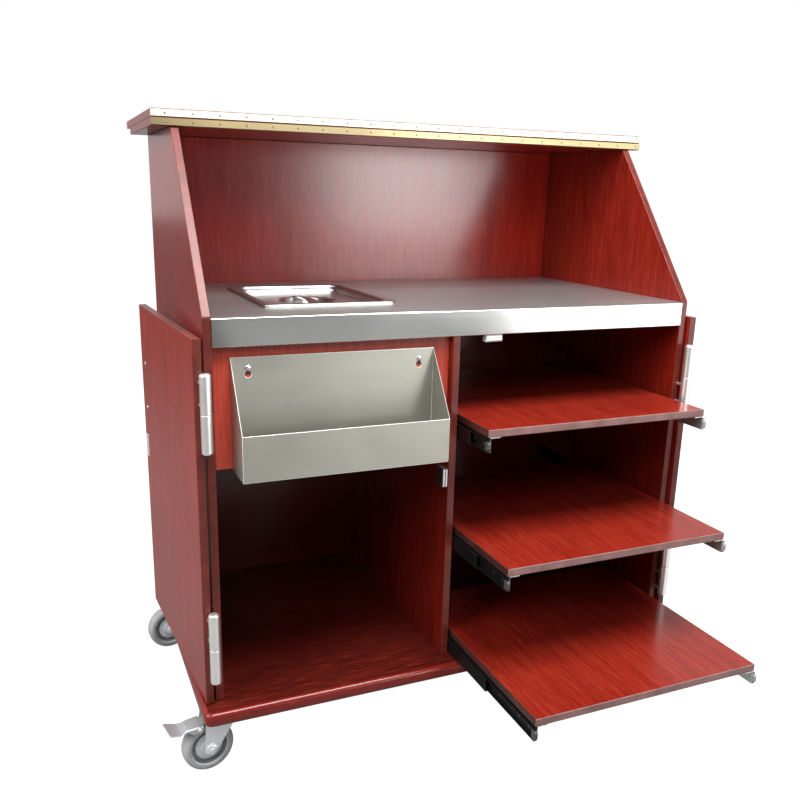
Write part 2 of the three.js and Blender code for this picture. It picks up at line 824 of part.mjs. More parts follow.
// Brake pedal: a plate on a cross pin in the fork, widening to a foot tip behind the wheel
function brakePedal() {
  const legNear = wheelWidth / 2 + forkWheelGap;
  const pivotX = pedalPivotAhead - casterTrail;
  const pivotZ = wheelRadius + pedalPivotRise;
  const neck = pedalReach - pedalTipLength;
  const plan = outline([
    [0, -pedalWidth / 2],
    [0, pedalWidth / 2],
    [-neck, pedalWidth / 2],
    [-neck - pedalTipLength / 2, pedalTipWidth / 2],
    [-pedalReach, pedalTipWidth / 2],
    [-pedalReach, -pedalTipWidth / 2],
    [-neck - pedalTipLength / 2, -pedalTipWidth / 2],
    [-neck, -pedalWidth / 2],
  ]);
  const plate = slab(plan, -pedalThick / 2, pedalThick / 2);
  plate.rotateY(-Math.atan2(pedalDrop, pedalReach));
  plate.translate(pivotX, 0, pivotZ);
  const knuckleEnd = legNear - seatGap;
  const pinEnd = legNear + forkThick;
  return joined([
    plate,
    rodY(pedalKnuckleRadius, -knuckleEnd, knuckleEnd, pivotX, pivotZ),
    rodY(pedalPinRadius, -pinEnd, pinEnd, pivotX, pivotZ),
  ]);
}

function addCasters() {
  for (const { place, x, y, brake } of casters) {
    const swivel = new THREE.Group();
    swivel.position.set(x, y, 0);
    swivel.rotation.z = THREE.MathUtils.degToRad(casterTurn);
    station.add(swivel);
    addPart(swivel, place + '_caster_fork', casterFork(brake), zinc);
    const wheel = addPart(swivel, place + '_caster_wheel', casterWheel(), greyRubber);
    wheel.position.set(-casterTrail, 0, wheelRadius);
    if (brake) {
      addPart(swivel, place + '_brake_pedal', brakePedal(), zinc);
    }
  }
}

addBase();
addBody();
addRailPanel();
addBottleRail();
addCounter();
addBarTop();
addPan();
addPanLid();
addDoor('left', -1, leftDoorWidth);
addDoor('right', 1, rightDoorWidth);
addCatches();
addShelves();
addCasters();

// Origin on the floor, in the middle of the space the station takes up
station.updateMatrixWorld(true);
const extent = new THREE.Box3().setFromObject(station, true);
const middle = extent.getCenter(new THREE.Vector3());
station.position.set(-middle.x, -middle.y, -extent.min.z);

export default station;
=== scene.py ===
import json
import math

import bpy
import numpy as np
from mathutils import Matrix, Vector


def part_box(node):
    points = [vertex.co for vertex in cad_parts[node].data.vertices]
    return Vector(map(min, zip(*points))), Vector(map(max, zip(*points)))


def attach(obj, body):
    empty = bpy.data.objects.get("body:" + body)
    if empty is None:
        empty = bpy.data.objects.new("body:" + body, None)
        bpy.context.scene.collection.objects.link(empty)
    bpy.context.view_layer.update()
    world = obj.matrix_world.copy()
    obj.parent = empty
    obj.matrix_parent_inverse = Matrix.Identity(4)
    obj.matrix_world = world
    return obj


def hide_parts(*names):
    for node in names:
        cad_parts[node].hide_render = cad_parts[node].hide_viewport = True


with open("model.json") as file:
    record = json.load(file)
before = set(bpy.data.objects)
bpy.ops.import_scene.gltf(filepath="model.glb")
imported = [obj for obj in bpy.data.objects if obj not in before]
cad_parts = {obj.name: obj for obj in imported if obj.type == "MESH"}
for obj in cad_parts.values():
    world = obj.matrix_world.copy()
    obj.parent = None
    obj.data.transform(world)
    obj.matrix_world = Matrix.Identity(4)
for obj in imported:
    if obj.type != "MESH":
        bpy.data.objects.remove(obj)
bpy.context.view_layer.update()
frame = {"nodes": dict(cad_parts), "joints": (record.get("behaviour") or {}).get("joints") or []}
nodes = frame["nodes"]
hingeAxes = {joint["name"]: np.array(joint["pos_m"]) for joint in frame["joints"] if joint["type"] == "hinge"}
print("frame loaded:", len(nodes), "solids")

# sizes below are in millimetres from the body's left front corner, on the floor
mm = 0.001
bodyCorner = np.array(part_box("left_side_panel")[0]) * (1, 1, 0)


def placed(points):
    return np.asarray(points, float) * mm + bodyCorner


def nodeBox(node):
    low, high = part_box(node)
    return (np.array(low) - bodyCorner) / mm, (np.array(high) - bodyCorner) / mm


# place of a joint's axis, in the same millimetres
def jointPlace(name):
    return (hingeAxes[name] - bodyCorner) / mm


# shader helpers

def addNode(tree, kind, inputs=None, **settings):
    node = tree.nodes.new(kind)
    for name, value in settings.items():
        setattr(node, name, value)
    for name, value in (inputs or {}).items():
        node.inputs[name].default_value = value
    return node


def wire(tree, source, output, target, entry):
    tree.links.new(source.outputs[output], target.inputs[entry])


def mathNode(tree, operation, first, second, clamp=False):
    node = addNode(tree, "ShaderNodeMath", operation=operation, use_clamp=clamp)
    for index, value in enumerate((first, second)):
        if isinstance(value, (int, float)):
            node.inputs[index].default_value = value
        else:
            tree.links.new(value, node.inputs[index])
    return node.outputs[0]


def colourRamp(tree, factor, stops):
    ramp = addNode(tree, "ShaderNodeValToRGB")
    band = ramp.color_ramp
    while len(band.elements) < len(stops):
        band.elements.new(0.5)
    for element, (position, colour) in zip(band.elements, stops):
        element.position = position
        element.color = (*colour, 1)
    tree.links.new(factor, ramp.inputs[0])
    return ramp.outputs[0]


def mixColour(tree, factor, first, second, blend="MIX"):
    node = addNode(tree, "ShaderNodeMix", data_type="RGBA", blend_type=blend)
    for entry, value in ((0, factor), (6, first), (7, second)):
        if isinstance(value, bpy.types.NodeSocket):
            tree.links.new(value, node.inputs[entry])
        elif isinstance(value, (int, float)):
            node.inputs[entry].default_value = value
        else:
            node.inputs[entry].default_value = (*value, 1)
    return node.outputs[2]


def noiseValue(tree, vector, scale, detail=4.0, rough=0.55, twist=0.0):
    inputs = {"Scale": scale, "Detail": detail, "Roughness": rough, "Distortion": twist}
    node = addNode(tree, "ShaderNodeTexNoise", inputs)
    tree.links.new(vector, node.inputs["Vector"])
    return node.outputs["Fac"]


def coordinate(tree, vector, axis):
    split = addNode(tree, "ShaderNodeSeparateXYZ")
    tree.links.new(vector, split.inputs[0])
    return split.outputs[axis]


# noise drawn out along an axis: its stretch, detail, roughness and twist
def drawnNoise(tree, vector, stretch, detail, rough, twist=0.0):
    node = addNode(tree, "ShaderNodeMapping", {"Scale": stretch})
    tree.links.new(vector, node.inputs["Vector"])
    return noiseValue(tree, node.outputs[0], 1.0, detail, rough, twist)


def newGroup(name, outputs):
    group = bpy.data.node_groups.new(name, "ShaderNodeTree")
    group.interface.new_socket("Vector", in_out="INPUT", socket_type="NodeSocketVector")
    for output in outputs:
        group.interface.new_socket(output, in_out="OUTPUT", socket_type="NodeSocketFloat")
    start = group.nodes.new("NodeGroupInput")
    end = group.nodes.new("NodeGroupOutput")
    return group, start.outputs["Vector"], end


# each effect has its noise, then its own shares and limits
figureSettings = {
    "streaks": ((240, 240, 8), 5, 0.68, 0.2), "streakShare": 0.80,
    "broad": ((30, 30, 0.8), 2, 0.55), "broadShare": 0.20,
    "arches": ((6.5, 6.5, 1.1), 1.5, 0.4, 0.3), "archCount": 70.0, "archShare": 0.035,
    "dashes": ((340, 340, 18), 3, 0.55), "fleckFrom": 0.52, "fleckGain": 4.5,
    "pores": ((520, 520, 26), 2, 0.5), "poreFrom": 0.55, "poreGain": 5.0,
}


# the part of a noise above a limit, spread to the full range
def above(tree, value, limit, gain):
    return mathNode(tree, "MULTIPLY", mathNode(tree, "SUBTRACT", value, limit, clamp=True), gain, clamp=True)


# printed wood figure: fine streaks with faint arches, bright flecks and short pores,
# all drawn out along the vector's Z
def makeWoodFigure():
    settings = figureSettings
    group, vector, end = newGroup("woodFigure", ("Figure", "Flecks", "Pores"))
    streaks = drawnNoise(group, vector, *settings["streaks"])
    arch = drawnNoise(group, vector, *settings["arches"])
    rings = mathNode(group, "SINE", mathNode(group, "MULTIPLY", arch, settings["archCount"]), 0.0)
    broad = drawnNoise(group, vector, *settings["broad"])
    fineShare = mathNode(group, "MULTIPLY", streaks, settings["streakShare"])
    broadShare = mathNode(group, "MULTIPLY", broad, settings["broadShare"])
    ringShare = mathNode(group, "MULTIPLY", rings, settings["archShare"])
    figure = mathNode(group, "ADD", mathNode(group, "ADD", fineShare, broadShare), ringShare, clamp=True)
    group.links.new(figure, end.inputs["Figure"])
    dashes = drawnNoise(group, vector, *settings["dashes"])
    group.links.new(above(group, dashes, settings["fleckFrom"], settings["fleckGain"]), end.inputs["Flecks"])
    fine = drawnNoise(group, vector, *settings["pores"])
    group.links.new(above(group, fine, settings["poreFrom"], settings["poreGain"]), end.inputs["Pores"])
    return group


markSettings = {
    "lines": ((3, 900, 900), 3, 0.6), "smears": ((7, 9, 9), 3, 0.55, 0.4), "mottle": ((30, 30, 30), 5, 0.6),
    "scuffs": ((240, 240, 60), 4, 0.7, 1.2), "scuffFrom": 0.6, "scuffGain": 6.0,
}


# brushed lines drawn out along the vector's X, with slow cloudy smears over them
def makeBrushedLines():
    group, vector, end = newGroup("brushedLines", ("Lines", "Smears"))
    lines = drawnNoise(group, vector, *markSettings["lines"])
    group.links.new(lines, end.inputs["Lines"])
    smears = drawnNoise(group, vector, *markSettings["smears"])
    group.links.new(smears, end.inputs["Smears"])
    return group


# handling marks: thin scuffs and a dusty mottle
def makeHandling():
    group, vector, end = newGroup("handling", ("Mottle", "Scuffs"))
    mottle = drawnNoise(group, vector, *markSettings["mottle"])
    group.links.new(mottle, end.inputs["Mottle"])
    fine = drawnNoise(group, vector, *markSettings["scuffs"])
    scuffs = above(group, fine, markSettings["scuffFrom"], markSettings["scuffGain"])
    group.links.new(scuffs, end.inputs["Scuffs"])
    return group


woodFigure = makeWoodFigure()
brushedLines = makeBrushedLines()
handling = makeHandling()


def startMaterial(name):
    material = bpy.data.materials.new(name)
    material.use_nodes = True
    tree = material.node_tree
    tree.nodes.clear()
    shader = addNode(tree, "ShaderNodeBsdfPrincipled")
    output = addNode(tree, "ShaderNodeOutputMaterial")
    wire(tree, shader, "BSDF", output, "Surface")
    coords = addNode(tree, "ShaderNodeTexCoord")
    return material, tree, shader, coords.outputs["Object"]


def useGroup(tree, group, vector):
    node = addNode(tree, "ShaderNodeGroup", node_tree=group)
    tree.links.new(vector, node.inputs["Vector"])
    return node


def addBump(tree, shader, height, strength, distance):
    bump = addNode(tree, "ShaderNodeBump", {"Strength": strength, "Distance": distance})
    tree.links.new(height, bump.inputs["Height"])
    wire(tree, bump, "Normal", shader, "Normal")


# turns that bring the grain axis onto Z
grainTurns = {"x": (0, math.pi / 2, 0), "y": (math.pi / 2, 0, 0), "z": (0, 0, 0)}

laminateLook = {
    "dark": (0.118, 0.0068, 0.0043),
    "middle": (0.195, 0.0115, 0.0062),
    "light": (0.28, 0.021, 0.0105),
    "fleck": (0.36, 0.042, 0.017),
    "pore": (0.045, 0.0045, 0.0036),
    "stops": (0.30, 0.50, 0.72),
    "fleckShare": 0.5,
    "poreShare": 0.55,
    "poreBump": -0.12,
    "roughness": 0.22,
    "roughSpread": 0.10,
    "specular": 0.45,
    "coat": 0.0,
    "coatRoughness": 0.08,
}
bumpDepth = {"pores": 0.0004, "marks": 0.0003}
stepSharpness = 2000.0  # per metre, where a tone changes at once


# share of painted shade inside the bays, where the board is darkened below the counter and on its front face
def bayShadeShare(tree, coords, limits):
    share = limits["share"]
    for axis, limit in ((1, limits["behind"]), (2, limits["below"])):
        short = mathNode(tree, "SUBTRACT", limit, coordinate(tree, coords, axis))
        step = mathNode(tree, "MULTIPLY", short, stepSharpness, clamp=True)
        share = mathNode(tree, "MULTIPLY", step, share)
    return share


def laminate(name, grain, look=laminateLook, shift=0.0, bayShade=None):
    material, tree, shader, coords = startMaterial(name)
    place = {"Rotation": grainTurns[grain], "Location": (shift, shift * 0.7, shift)}
    turn = addNode(tree, "ShaderNodeMapping", place)
    tree.links.new(coords, turn.inputs["Vector"])
    wood = useGroup(tree, woodFigure, turn.outputs[0])
    stops = list(zip(look["stops"], (look["dark"], look["middle"], look["light"])))
    streaked = colourRamp(tree, wood.outputs["Figure"], stops)
    fleckShare = mathNode(tree, "MULTIPLY", wood.outputs["Flecks"], look["fleckShare"])
    figure = mixColour(tree, fleckShare, streaked, look["fleck"])
    poreShare = mathNode(tree, "MULTIPLY", wood.outputs["Pores"], look["poreShare"])
    colour = mixColour(tree, poreShare, figure, look["pore"])
    # inside the bays the colour is mixed toward the pore tone, as painted shade
    if bayShade is not None:
        colour = mixColour(tree, bayShadeShare(tree, coords, bayShade), colour, look["pore"])
    tree.links.new(colour, shader.inputs["Base Color"])
    spread = mathNode(tree, "MULTIPLY", wood.outputs["Figure"], look["roughSpread"])
    rough = mathNode(tree, "ADD", spread, look["roughness"] - look["roughSpread"] / 2)
    tree.links.new(rough, shader.inputs["Roughness"])
    shader.inputs["Specular IOR Level"].default_value = look["specular"]
    shader.inputs["Coat Weight"].default_value = look["coat"]
    shader.inputs["Coat Roughness"].default_value = look["coatRoughness"]
    addBump(tree, shader, wood.outputs["Pores"], look["poreBump"], bumpDepth["pores"])
    return material


edgingLook = {"dark": (0.115, 0.018, 0.012), "light": (0.19, 0.030, 0.021), "stops": (0.35, 0.65),
              "roughness": 0.30, "scuffs": 0.15, "specular": 0.32}


def scuffedRoughness(tree, shader, marks, roughness, share):
    rough = mathNode(tree, "ADD", mathNode(tree, "MULTIPLY", marks.outputs["Scuffs"], share), roughness)
    tree.links.new(rough, shader.inputs["Roughness"])


# smooth plastic edging with a faint mottle
def edging(name, look=edgingLook):
    material, tree, shader, coords = startMaterial(name)
    marks = useGroup(tree, handling, coords)
    stops = list(zip(look["stops"], (look["dark"], look["light"])))
    tree.links.new(colourRamp(tree, marks.outputs["Mottle"], stops), shader.inputs["Base Color"])
    scuffedRoughness(tree, shader, marks, look["roughness"], look["scuffs"])
    shader.inputs["Specular IOR Level"].default_value = look["specular"]
    return material


metalDim = 0.82  # darkest share of a metal's colour
plasticLook = {"dim": 0.80, "scuffs": 0.2, "bump": 0.05}
lineTurns = {"x": (0, 0, 0), "y": (0, 0, math.pi / 2), "z": (0, math.pi / 2, 0)}


# colour levels along X: pairs of place in metres and level
def tonesAlong(tree, coords, tones):
    low, high = tones[0][0], tones[-1][0]
    along = addNode(tree, "ShaderNodeMapRange", {"From Min": low, "From Max": high})
    tree.links.new(coordinate(tree, coords, 0), along.inputs[0])
    stops = [((place - low) / (high - low), (level,) * 3) for place, level in tones]
    return colourRamp(tree, along.outputs[0], stops)


# metal, plain or brushed along an axis, with tones along X for painted light and shade
def metal(name, colour, roughness, linesAlong=None, spread=0.12, lineShare=0.10, bump=0.05, metallic=1.0,
          tones=None):
    material, tree, shader, coords = startMaterial(name)
    shader.inputs["Metallic"].default_value = metallic
    dim = tuple(channel * metalDim for channel in colour)
    if linesAlong is None:
        marks = useGroup(tree, handling, coords)
        first, second = marks.outputs["Mottle"], marks.outputs["Scuffs"]
    else:
        turn = addNode(tree, "ShaderNodeMapping", {"Rotation": lineTurns[linesAlong]})
        tree.links.new(coords, turn.inputs["Vector"])
        marks = useGroup(tree, brushedLines, turn.outputs[0])
        first, second = marks.outputs["Smears"], marks.outputs["Lines"]
        addBump(tree, shader, second, bump, bumpDepth["marks"])
    mottled = mixColour(tree, first, dim, colour)
    if tones is not None:
        mottled = mixColour(tree, 1.0, mottled, tonesAlong(tree, coords, tones), "MULTIPLY")
    tree.links.new(mottled, shader.inputs["Base Color"])
    wobble = mathNode(tree, "MULTIPLY", mathNode(tree, "SUBTRACT", first, 0.5), spread)
    lines = mathNode(tree, "MULTIPLY", mathNode(tree, "SUBTRACT", second, 0.5), lineShare)
    rough = mathNode(tree, "ADD", mathNode(tree, "ADD", wobble, lines), roughness, clamp=True)
    tree.links.new(rough, shader.inputs["Roughness"])
    return material


def plastic(name, colour, roughness, specular=0.5):
    material, tree, shader, coords = startMaterial(name)
    marks = useGroup(tree, handling, coords)
    dim = tuple(channel * plasticLook["dim"] for channel in colour)
    tree.links.new(mixColour(tree, marks.outputs["Mottle"], dim, colour), shader.inputs["Base Color"])
    scuffedRoughness(tree, shader, marks, roughness, plasticLook["scuffs"])
    shader.inputs["Specular IOR Level"].default_value = specular
    addBump(tree, shader, marks.outputs["Mottle"], plasticLook["bump"], bumpDepth["marks"])
    return material


slideSheet = {"channel": 7.3, "thick": 1.3}  # depth of an inner member's channel, and its sheet
slideShadeLook = {"dark": (0.030, 0.030, 0.031), "dim": 0.8, "metallic": 0.85, "roughness": 0.42, "scuffs": 0.15,
             "sharpness": 5000.0}


# where an inner member's web lies: its outer face, or with a share of the sheet, a place within it
def webPlace(low, high, side, share=0.0):
    inward = slideSheet["channel"] - slideSheet["thick"] * (1 - share)
    return low + inward if side < 0 else high - inward


# the face of a slide against the shelf is plain zinc, and all that is farther out is painted dark, as painted
# shade
def shadedSlideFinish(hand, side, light):
    look = slideShadeLook
    material, tree, shader, coords = startMaterial(hand + "Slides")
    shader.inputs["Metallic"].default_value = look["metallic"]
    low, high = (corner[0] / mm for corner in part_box(f"bottom_{hand}_slide_inner"))
    beyond = mathNode(tree, "SUBTRACT", coordinate(tree, coords, 0), webPlace(low, high, side, 0.5) * mm)
    outward = mathNode(tree, "MULTIPLY", beyond, side * look["sharpness"], clamp=True)
    marks = useGroup(tree, handling, coords)
    plate = mixColour(tree, marks.outputs["Mottle"], tuple(channel * look["dim"] for channel in light), light)
    tree.links.new(mixColour(tree, outward, plate, look["dark"]), shader.inputs["Base Color"])
    scuffedRoughness(tree, shader, marks, look["roughness"], look["scuffs"])
    return material


# the fascia's laminate is a brighter copy of the others, standing in for the front light on it: painted light
litFasciaLook = dict(laminateLook, dark=(0.40, 0.043, 0.025), middle=(0.575, 0.066, 0.038),
                  light=(0.67, 0.094, 0.053), fleck=(0.72, 0.122, 0.058), pore=(0.25, 0.027, 0.018))
# the base's top gets a darker copy of the lacquer on its edge, standing in for shade: painted shade
shadedLacquerLook = dict(laminateLook, dark=(0.043, 0.0036, 0.0026), middle=(0.074, 0.006, 0.0039),
                   light=(0.112, 0.010, 0.0065), roughness=0.36, specular=0.3)
lacquerEdgeLook = dict(shadedLacquerLook, dark=(0.13, 0.006, 0.0045), middle=(0.20, 0.010, 0.007), roughness=0.24,
                       coat=0.25)
shelfLook = dict(laminateLook, dark=(0.17, 0.0098, 0.0056), middle=(0.23, 0.0148, 0.0079),
                 light=(0.29, 0.026, 0.0128), fleck=(0.37, 0.05, 0.021))
# the back board's laminate is a brighter copy, standing in for light on the niche: painted light
litBackLook = dict(laminateLook, dark=(0.23, 0.0105, 0.0065), middle=(0.36, 0.0175, 0.0095),
                light=(0.47, 0.029, 0.0145), fleck=(0.53, 0.05, 0.020), pore=(0.11, 0.007, 0.005),
                specular=0.42)
doorLook = dict(laminateLook, dark=(0.165, 0.0095, 0.006), middle=(0.27, 0.016, 0.0087),
                light=(0.38, 0.029, 0.0145), fleck=(0.47, 0.057, 0.023), specular=0.29)
# shelf banding: a lit copy for the front edge and a shaded copy for the sides, painted light and shade
litShelfEdgingLook = dict(edgingLook, dark=(0.24, 0.125, 0.115), light=(0.36, 0.19, 0.176))
shadedShelfSideLook = dict(edgingLook, dark=(0.050, 0.017, 0.014), light=(0.082, 0.028, 0.023), roughness=0.4)
uprightWood = laminate("mahoganyUpright", "z")
bayShadeLimits = {"behind": sum(corner[1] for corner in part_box("back_panel")) / 2,
              "below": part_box("counter_top")[1][2], "share": 0.85}
backWood = laminate("mahoganyBack", "z", litBackLook, bayShade=bayShadeLimits)
doorWood = laminate("mahoganyDoor", "z", doorLook, shift=1.7)
shelfWood = laminate("mahoganyShelf", "y", shelfLook)
barWood = laminate("mahoganyBar", "x", shift=0.8)
fasciaWood = laminate("mahoganyFascia", "z", litFasciaLook, shift=0.4)
baseLacquer = laminate("redLacquer", "x", shadedLacquerLook, shift=2.1)
boardEdging = edging("boardEdging")
litShelfEdging = edging("litShelfEdging", litShelfEdgingLook)
shadedShelfSideEdging = edging("shadedShelfSideEdging", shadedShelfSideLook)
lacquerEdge = laminate("redLacquerEdge", "x", lacquerEdgeLook)
counterSteel = metal("brushedCounter", (0.585, 0.615, 0.605), 0.41, "x", 0.04, 0.06, 0.02)
apronSteel = metal("brushedApron", (0.62, 0.617, 0.60), 0.14, "x", 0.06, 0.06, 0.02)
railSteel = metal("brushedRail", (0.415, 0.402, 0.35), 0.40, "x", 0.12, 0.20, 0.05, 0.72)
# the rail's rounded edges get a paler steel, a painted highlight
railEdgeHighlight = metal("paintedRailEdgeHighlight", (0.95, 0.945, 0.92), 0.30, "x", 0.06, 0.06, 0.0, 0.4)
panSteel = metal("pressedPan", (0.525, 0.523, 0.517), 0.34, None, 0.06, 0.04)
# levels along the lower strip's length stand in for its highlights and shade: painted light and shade
paintedStripTones = ((-0.55, 0.34), (-0.40, 0.58), (-0.12, 0.55), (0.0, 0.95), (0.18, 0.95), (0.33, 0.70),
              (0.55, 0.75))
stripBrass = metal("satinBrass", (0.69, 0.545, 0.275), 0.45, "x", 0.10, 0.16, 0.05, 0.4, paintedStripTones)
# the upper strip is a paler copy of the brass, standing in for its highlight: painted highlight
highlightBrass = metal("highlightBrass", (0.91, 0.855, 0.69), 0.45, "x", 0.10, 0.16, 0.05, 0.4)
nailSteel = metal("darkNails", (0.22, 0.17, 0.10), 0.40)
brightSteel = metal("brightSteel", (0.84, 0.83, 0.81), 0.22)
hingeSteel = metal("satinHinge", (0.95, 0.93, 0.905), 0.33, "z", 0.03, 0.03, 0.0, 0.85)
# left and right slides are a shaded and a lit copy of one zinc plate: painted shade and light
shadedLeftSlideSteel = shadedSlideFinish("left", -1, (0.62, 0.61, 0.60))
litRightSlideSteel = shadedSlideFinish("right", 1, (0.80, 0.79, 0.78))
# left stops get the shaded copy and right stops the lit copy of one plastic: painted shade and light
shadedStopPlastic = plastic("shadedStops", (0.065, 0.065, 0.064), 0.5)
litStopPlastic = plastic("litStops", (0.40, 0.40, 0.395), 0.5)
zincSteel = metal("zincPlate", (0.90, 0.925, 0.95), 0.42, metallic=0.5)
tyreRubber = plastic("greyTyre", (0.48, 0.48, 0.495), 0.55, 0.3)
pedalSteel = metal("dullPedal", (0.50, 0.525, 0.54), 0.42, metallic=0.6)
rivetSteel = metal("dullRivets", (0.16, 0.16, 0.155), 0.40)
hubPlastic = plastic("greyHub", (0.80, 0.815, 0.85), 0.42)
grooveShade = plastic("darkGroove", (0.32, 0.323, 0.33), 0.6)
catchPlastic = plastic("whiteCatch", (0.78, 0.76, 0.73), 0.38)
darkCatchPlastic = plastic("brownCatch", (0.055, 0.030, 0.028), 0.40)
# a dark sheet that paints the shade in the rail's keyholes
keyholeShadeDisc = plastic("keyholeShade", (0.045, 0.010, 0.008), 0.6)
print("finishes made:", len(bpy.data.materials))


# mesh helpers

# two axes of a section, then the one that it runs along
axisOrder = {"x": (1, 2, 0), "y": (2, 0, 1), "z": (0, 1, 2)}
# radius at which a turned shape closes on its axis
tiny = 0.01


def gridFaces(rows, columns, wrap=True):
    row = np.arange(rows - 1)[:, None] * columns
    column = np.arange(columns if wrap else columns - 1)[None, :]
    after = (column + 1) % columns
    corners = (row + column, row + after, row + columns + after, row + columns + column)
    return np.stack(np.broadcast_arrays(*corners), -1).reshape(-1, 4)


# faces of a tube-like grid, with a flat cap on its last row and, if closed, on its first
def cappedFaces(rows, columns, closed=True):
    faces = gridFaces(rows, columns).tolist()
    if closed:
        faces.append(list(range(columns))[::-1])
    faces.append(list(range((rows - 1) * columns, rows * columns)))
    return faces


# points from two section coordinates and one along the axis
def onAxes(first, second, along, axis):
    points = np.empty((*np.broadcast_shapes(first.shape, along.shape), 3))
    for place, values in zip(axisOrder[axis], (first, second, along)):
        points[..., place] = values
    return points


def addPiece(name, body, points, faces, materials, faceSlots=None, replaced=(), sharp=40):
    mesh = bpy.data.meshes.new(name)
    mesh.from_pydata(placed(points).tolist(), [], [list(map(int, face)) for face in faces])
    for material in materials:
        mesh.materials.append(material)
    if faceSlots is not None:
        mesh.polygons.foreach_set("material_index", np.asarray(faceSlots, np.int32))
    mesh.polygons.foreach_set("use_smooth", np.ones(len(mesh.polygons), bool))
    mesh.set_sharp_from_angle(angle=math.radians(sharp))
    mesh.update()
    piece = bpy.data.objects.new(name, mesh)
    bpy.context.scene.collection.objects.link(piece)
    normals = piece.modifiers.new("faceNormals", "WEIGHTED_NORMAL")
    normals.keep_sharp = True
    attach(piece, body)
    if replaced:
        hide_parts(*replaced)
    return piece


# several shapes put into one list of points and faces, then made one piece
def addShapes(name, body, shapes, materials, replaced=(), sharp=40, move=None):
    points, faces, slots, start = [], [], [], 0
    for shapePoints, shapeFaces, shapeSlot in shapes:
        points.append(np.asarray(shapePoints, float).reshape(-1, 3))
        for face in shapeFaces:
            faces.append([corner + start for corner in face])
        slots.extend([shapeSlot] * len(shapeFaces))
        start += len(points[-1])
    points = np.concatenate(points)
    if move is not None:
        points = move(points)
    return addPiece(name, body, points, faces, materials, slots, replaced, sharp)


# sheet metal gets its thickness inward, ahead of the face normals
def thicken(piece, thickness):
    solid = piece.modifiers.new("sheet", "SOLIDIFY")
    solid.thickness = thickness * mm
    solid.offset = -1
    piece.modifiers.move(len(piece.modifiers) - 1, 0)


# corners rounded by a curve that starts and ends one radius from the corner
def roundedOutline(corners, radius, steps=4):
    corners = np.asarray(corners, float)
    radius = np.broadcast_to(np.asarray(radius, float), (len(corners),))[:, None]
    back = np.roll(corners, 1, 0) - corners
    ahead = np.roll(corners, -1, 0) - corners
    start = corners + back / np.linalg.norm(back, axis=1, keepdims=True) * radius
    end = corners + ahead / np.linalg.norm(ahead, axis=1, keepdims=True) * radius
    t = np.linspace(0, 1, steps + 1)[None, :, None]
    curve = (1 - t) ** 2 * start[:, None] + 2 * t * (1 - t) * corners[:, None] + t ** 2 * end[:, None]
    return curve.reshape(-1, 2)


# inward direction at each outline point that moves both its edges in by one
def inwardStep(outline):
    edge = np.roll(outline, -1, 0) - outline
    normal = np.stack((-edge[:, 1], edge[:, 0]), 1) / np.linalg.norm(edge, axis=1, keepdims=True)
    before = np.roll(normal, 1, 0)
    return (normal + before) / (1 + (normal * before).sum(1, keepdims=True))


# board: an outline carried through its thickness, drawn in along a quarter round at both faces;
# face slots are 1 for the edge and 0 for the two faces
def boardShape(outline, axis, low, high, bevel, steps=3):
    outline = np.asarray(outline, float)
    angle = np.linspace(0, math.pi / 2, steps + 1)
    inset = bevel * (1 - np.sin(angle))
    rise = bevel * (1 - np.cos(angle))
    inset = np.concatenate((inset, inset[::-1]))
    level = np.concatenate((low + rise, (high - rise)[::-1]))
    rings = outline[None] + inset[:, None, None] * inwardStep(outline)[None]
    points = onAxes(rings[..., 0], rings[..., 1], level[:, None], axis)
    faces = cappedFaces(len(level), len(outline))
    return points.reshape(-1, 3), faces, [1] * (len(faces) - 2) + [0, 0]


def boxOutline(low, high, axis):
    first, second = axisOrder[axis][:2]
    return [
        (low[first], low[second]),
        (high[first], low[second]),
        (high[first], high[second]),
        (low[first], high[second]),
    ]


def boxBoard(low, high, axis, corner, bevel, cornerSteps=2, bevelSteps=3):
    along = axisOrder[axis][2]
    outline = roundedOutline(boxOutline(low, high, axis), corner, cornerSteps)
    return boardShape(outline, axis, low[along], high[along], bevel, bevelSteps)


# a ring of points turned about an axis: profile rows are (radius, height along the axis)
def turnedShape(profile, centre, axis="z", columns=48):
    profile = np.asarray(profile, float)
    angle = np.linspace(0, 2 * math.pi, columns, endpoint=False)
    radius, along = profile[:, :1], profile[:, 1:2]
    points = onAxes(radius * np.cos(angle), radius * np.sin(angle), along, axis) + np.asarray(centre, float)
    return points.reshape(-1, 3), cappedFaces(len(profile), columns), 0


# closed ring without end caps, for a profile that comes back to its start
def turnedRing(profile, centre, axis="z", columns=64):
    points, faces, slot = turnedShape(profile, centre, axis, columns)
    last = gridFaces(2, columns)
    closing = np.where(last < columns, last + (len(profile) - 1) * columns, last - columns)
    return points, faces[:-2] + closing.tolist(), slot


# profile along X that stands out to one side, in the order that keeps its faces outward
def outProfile(rows, side):
    profile = [(radius, side * height) for radius, height in rows]
    return profile if side > 0 else profile[::-1]


# profile mirrored across its middle
def mirrored(profile):
    return [(radius, -along) for radius, along in profile][::-1]


# round bar: a circle carried along a path, with flat ends
def barShape(path, radius, columns=20):
    path = np.asarray(path, float)
    tangent = np.gradient(path, axis=0)
    tangent /= np.linalg.norm(tangent, axis=1, keepdims=True)
    side = np.cross(tangent, (0, 1, 0))
    side /= np.linalg.norm(side, axis=1, keepdims=True)
    other = np.cross(tangent, side)
    angle = np.linspace(0, 2 * math.pi, columns, endpoint=False)[None, :, None]
    points = path[:, None] + radius * (np.cos(angle) * side[:, None] + np.sin(angle) * other[:, None])
    return points.reshape(-1, 3), cappedFaces(len(path), columns), 0


def turnedAbout(points, pivot, angle):
    cosine, sine = math.cos(angle), math.sin(angle)
    moved = np.asarray(points, float) - (*pivot, 0)
    turned = moved @ np.array([[cosine, sine, 0], [-sine, cosine, 0], [0, 0, 1]])
    return turned + (*pivot, 0)


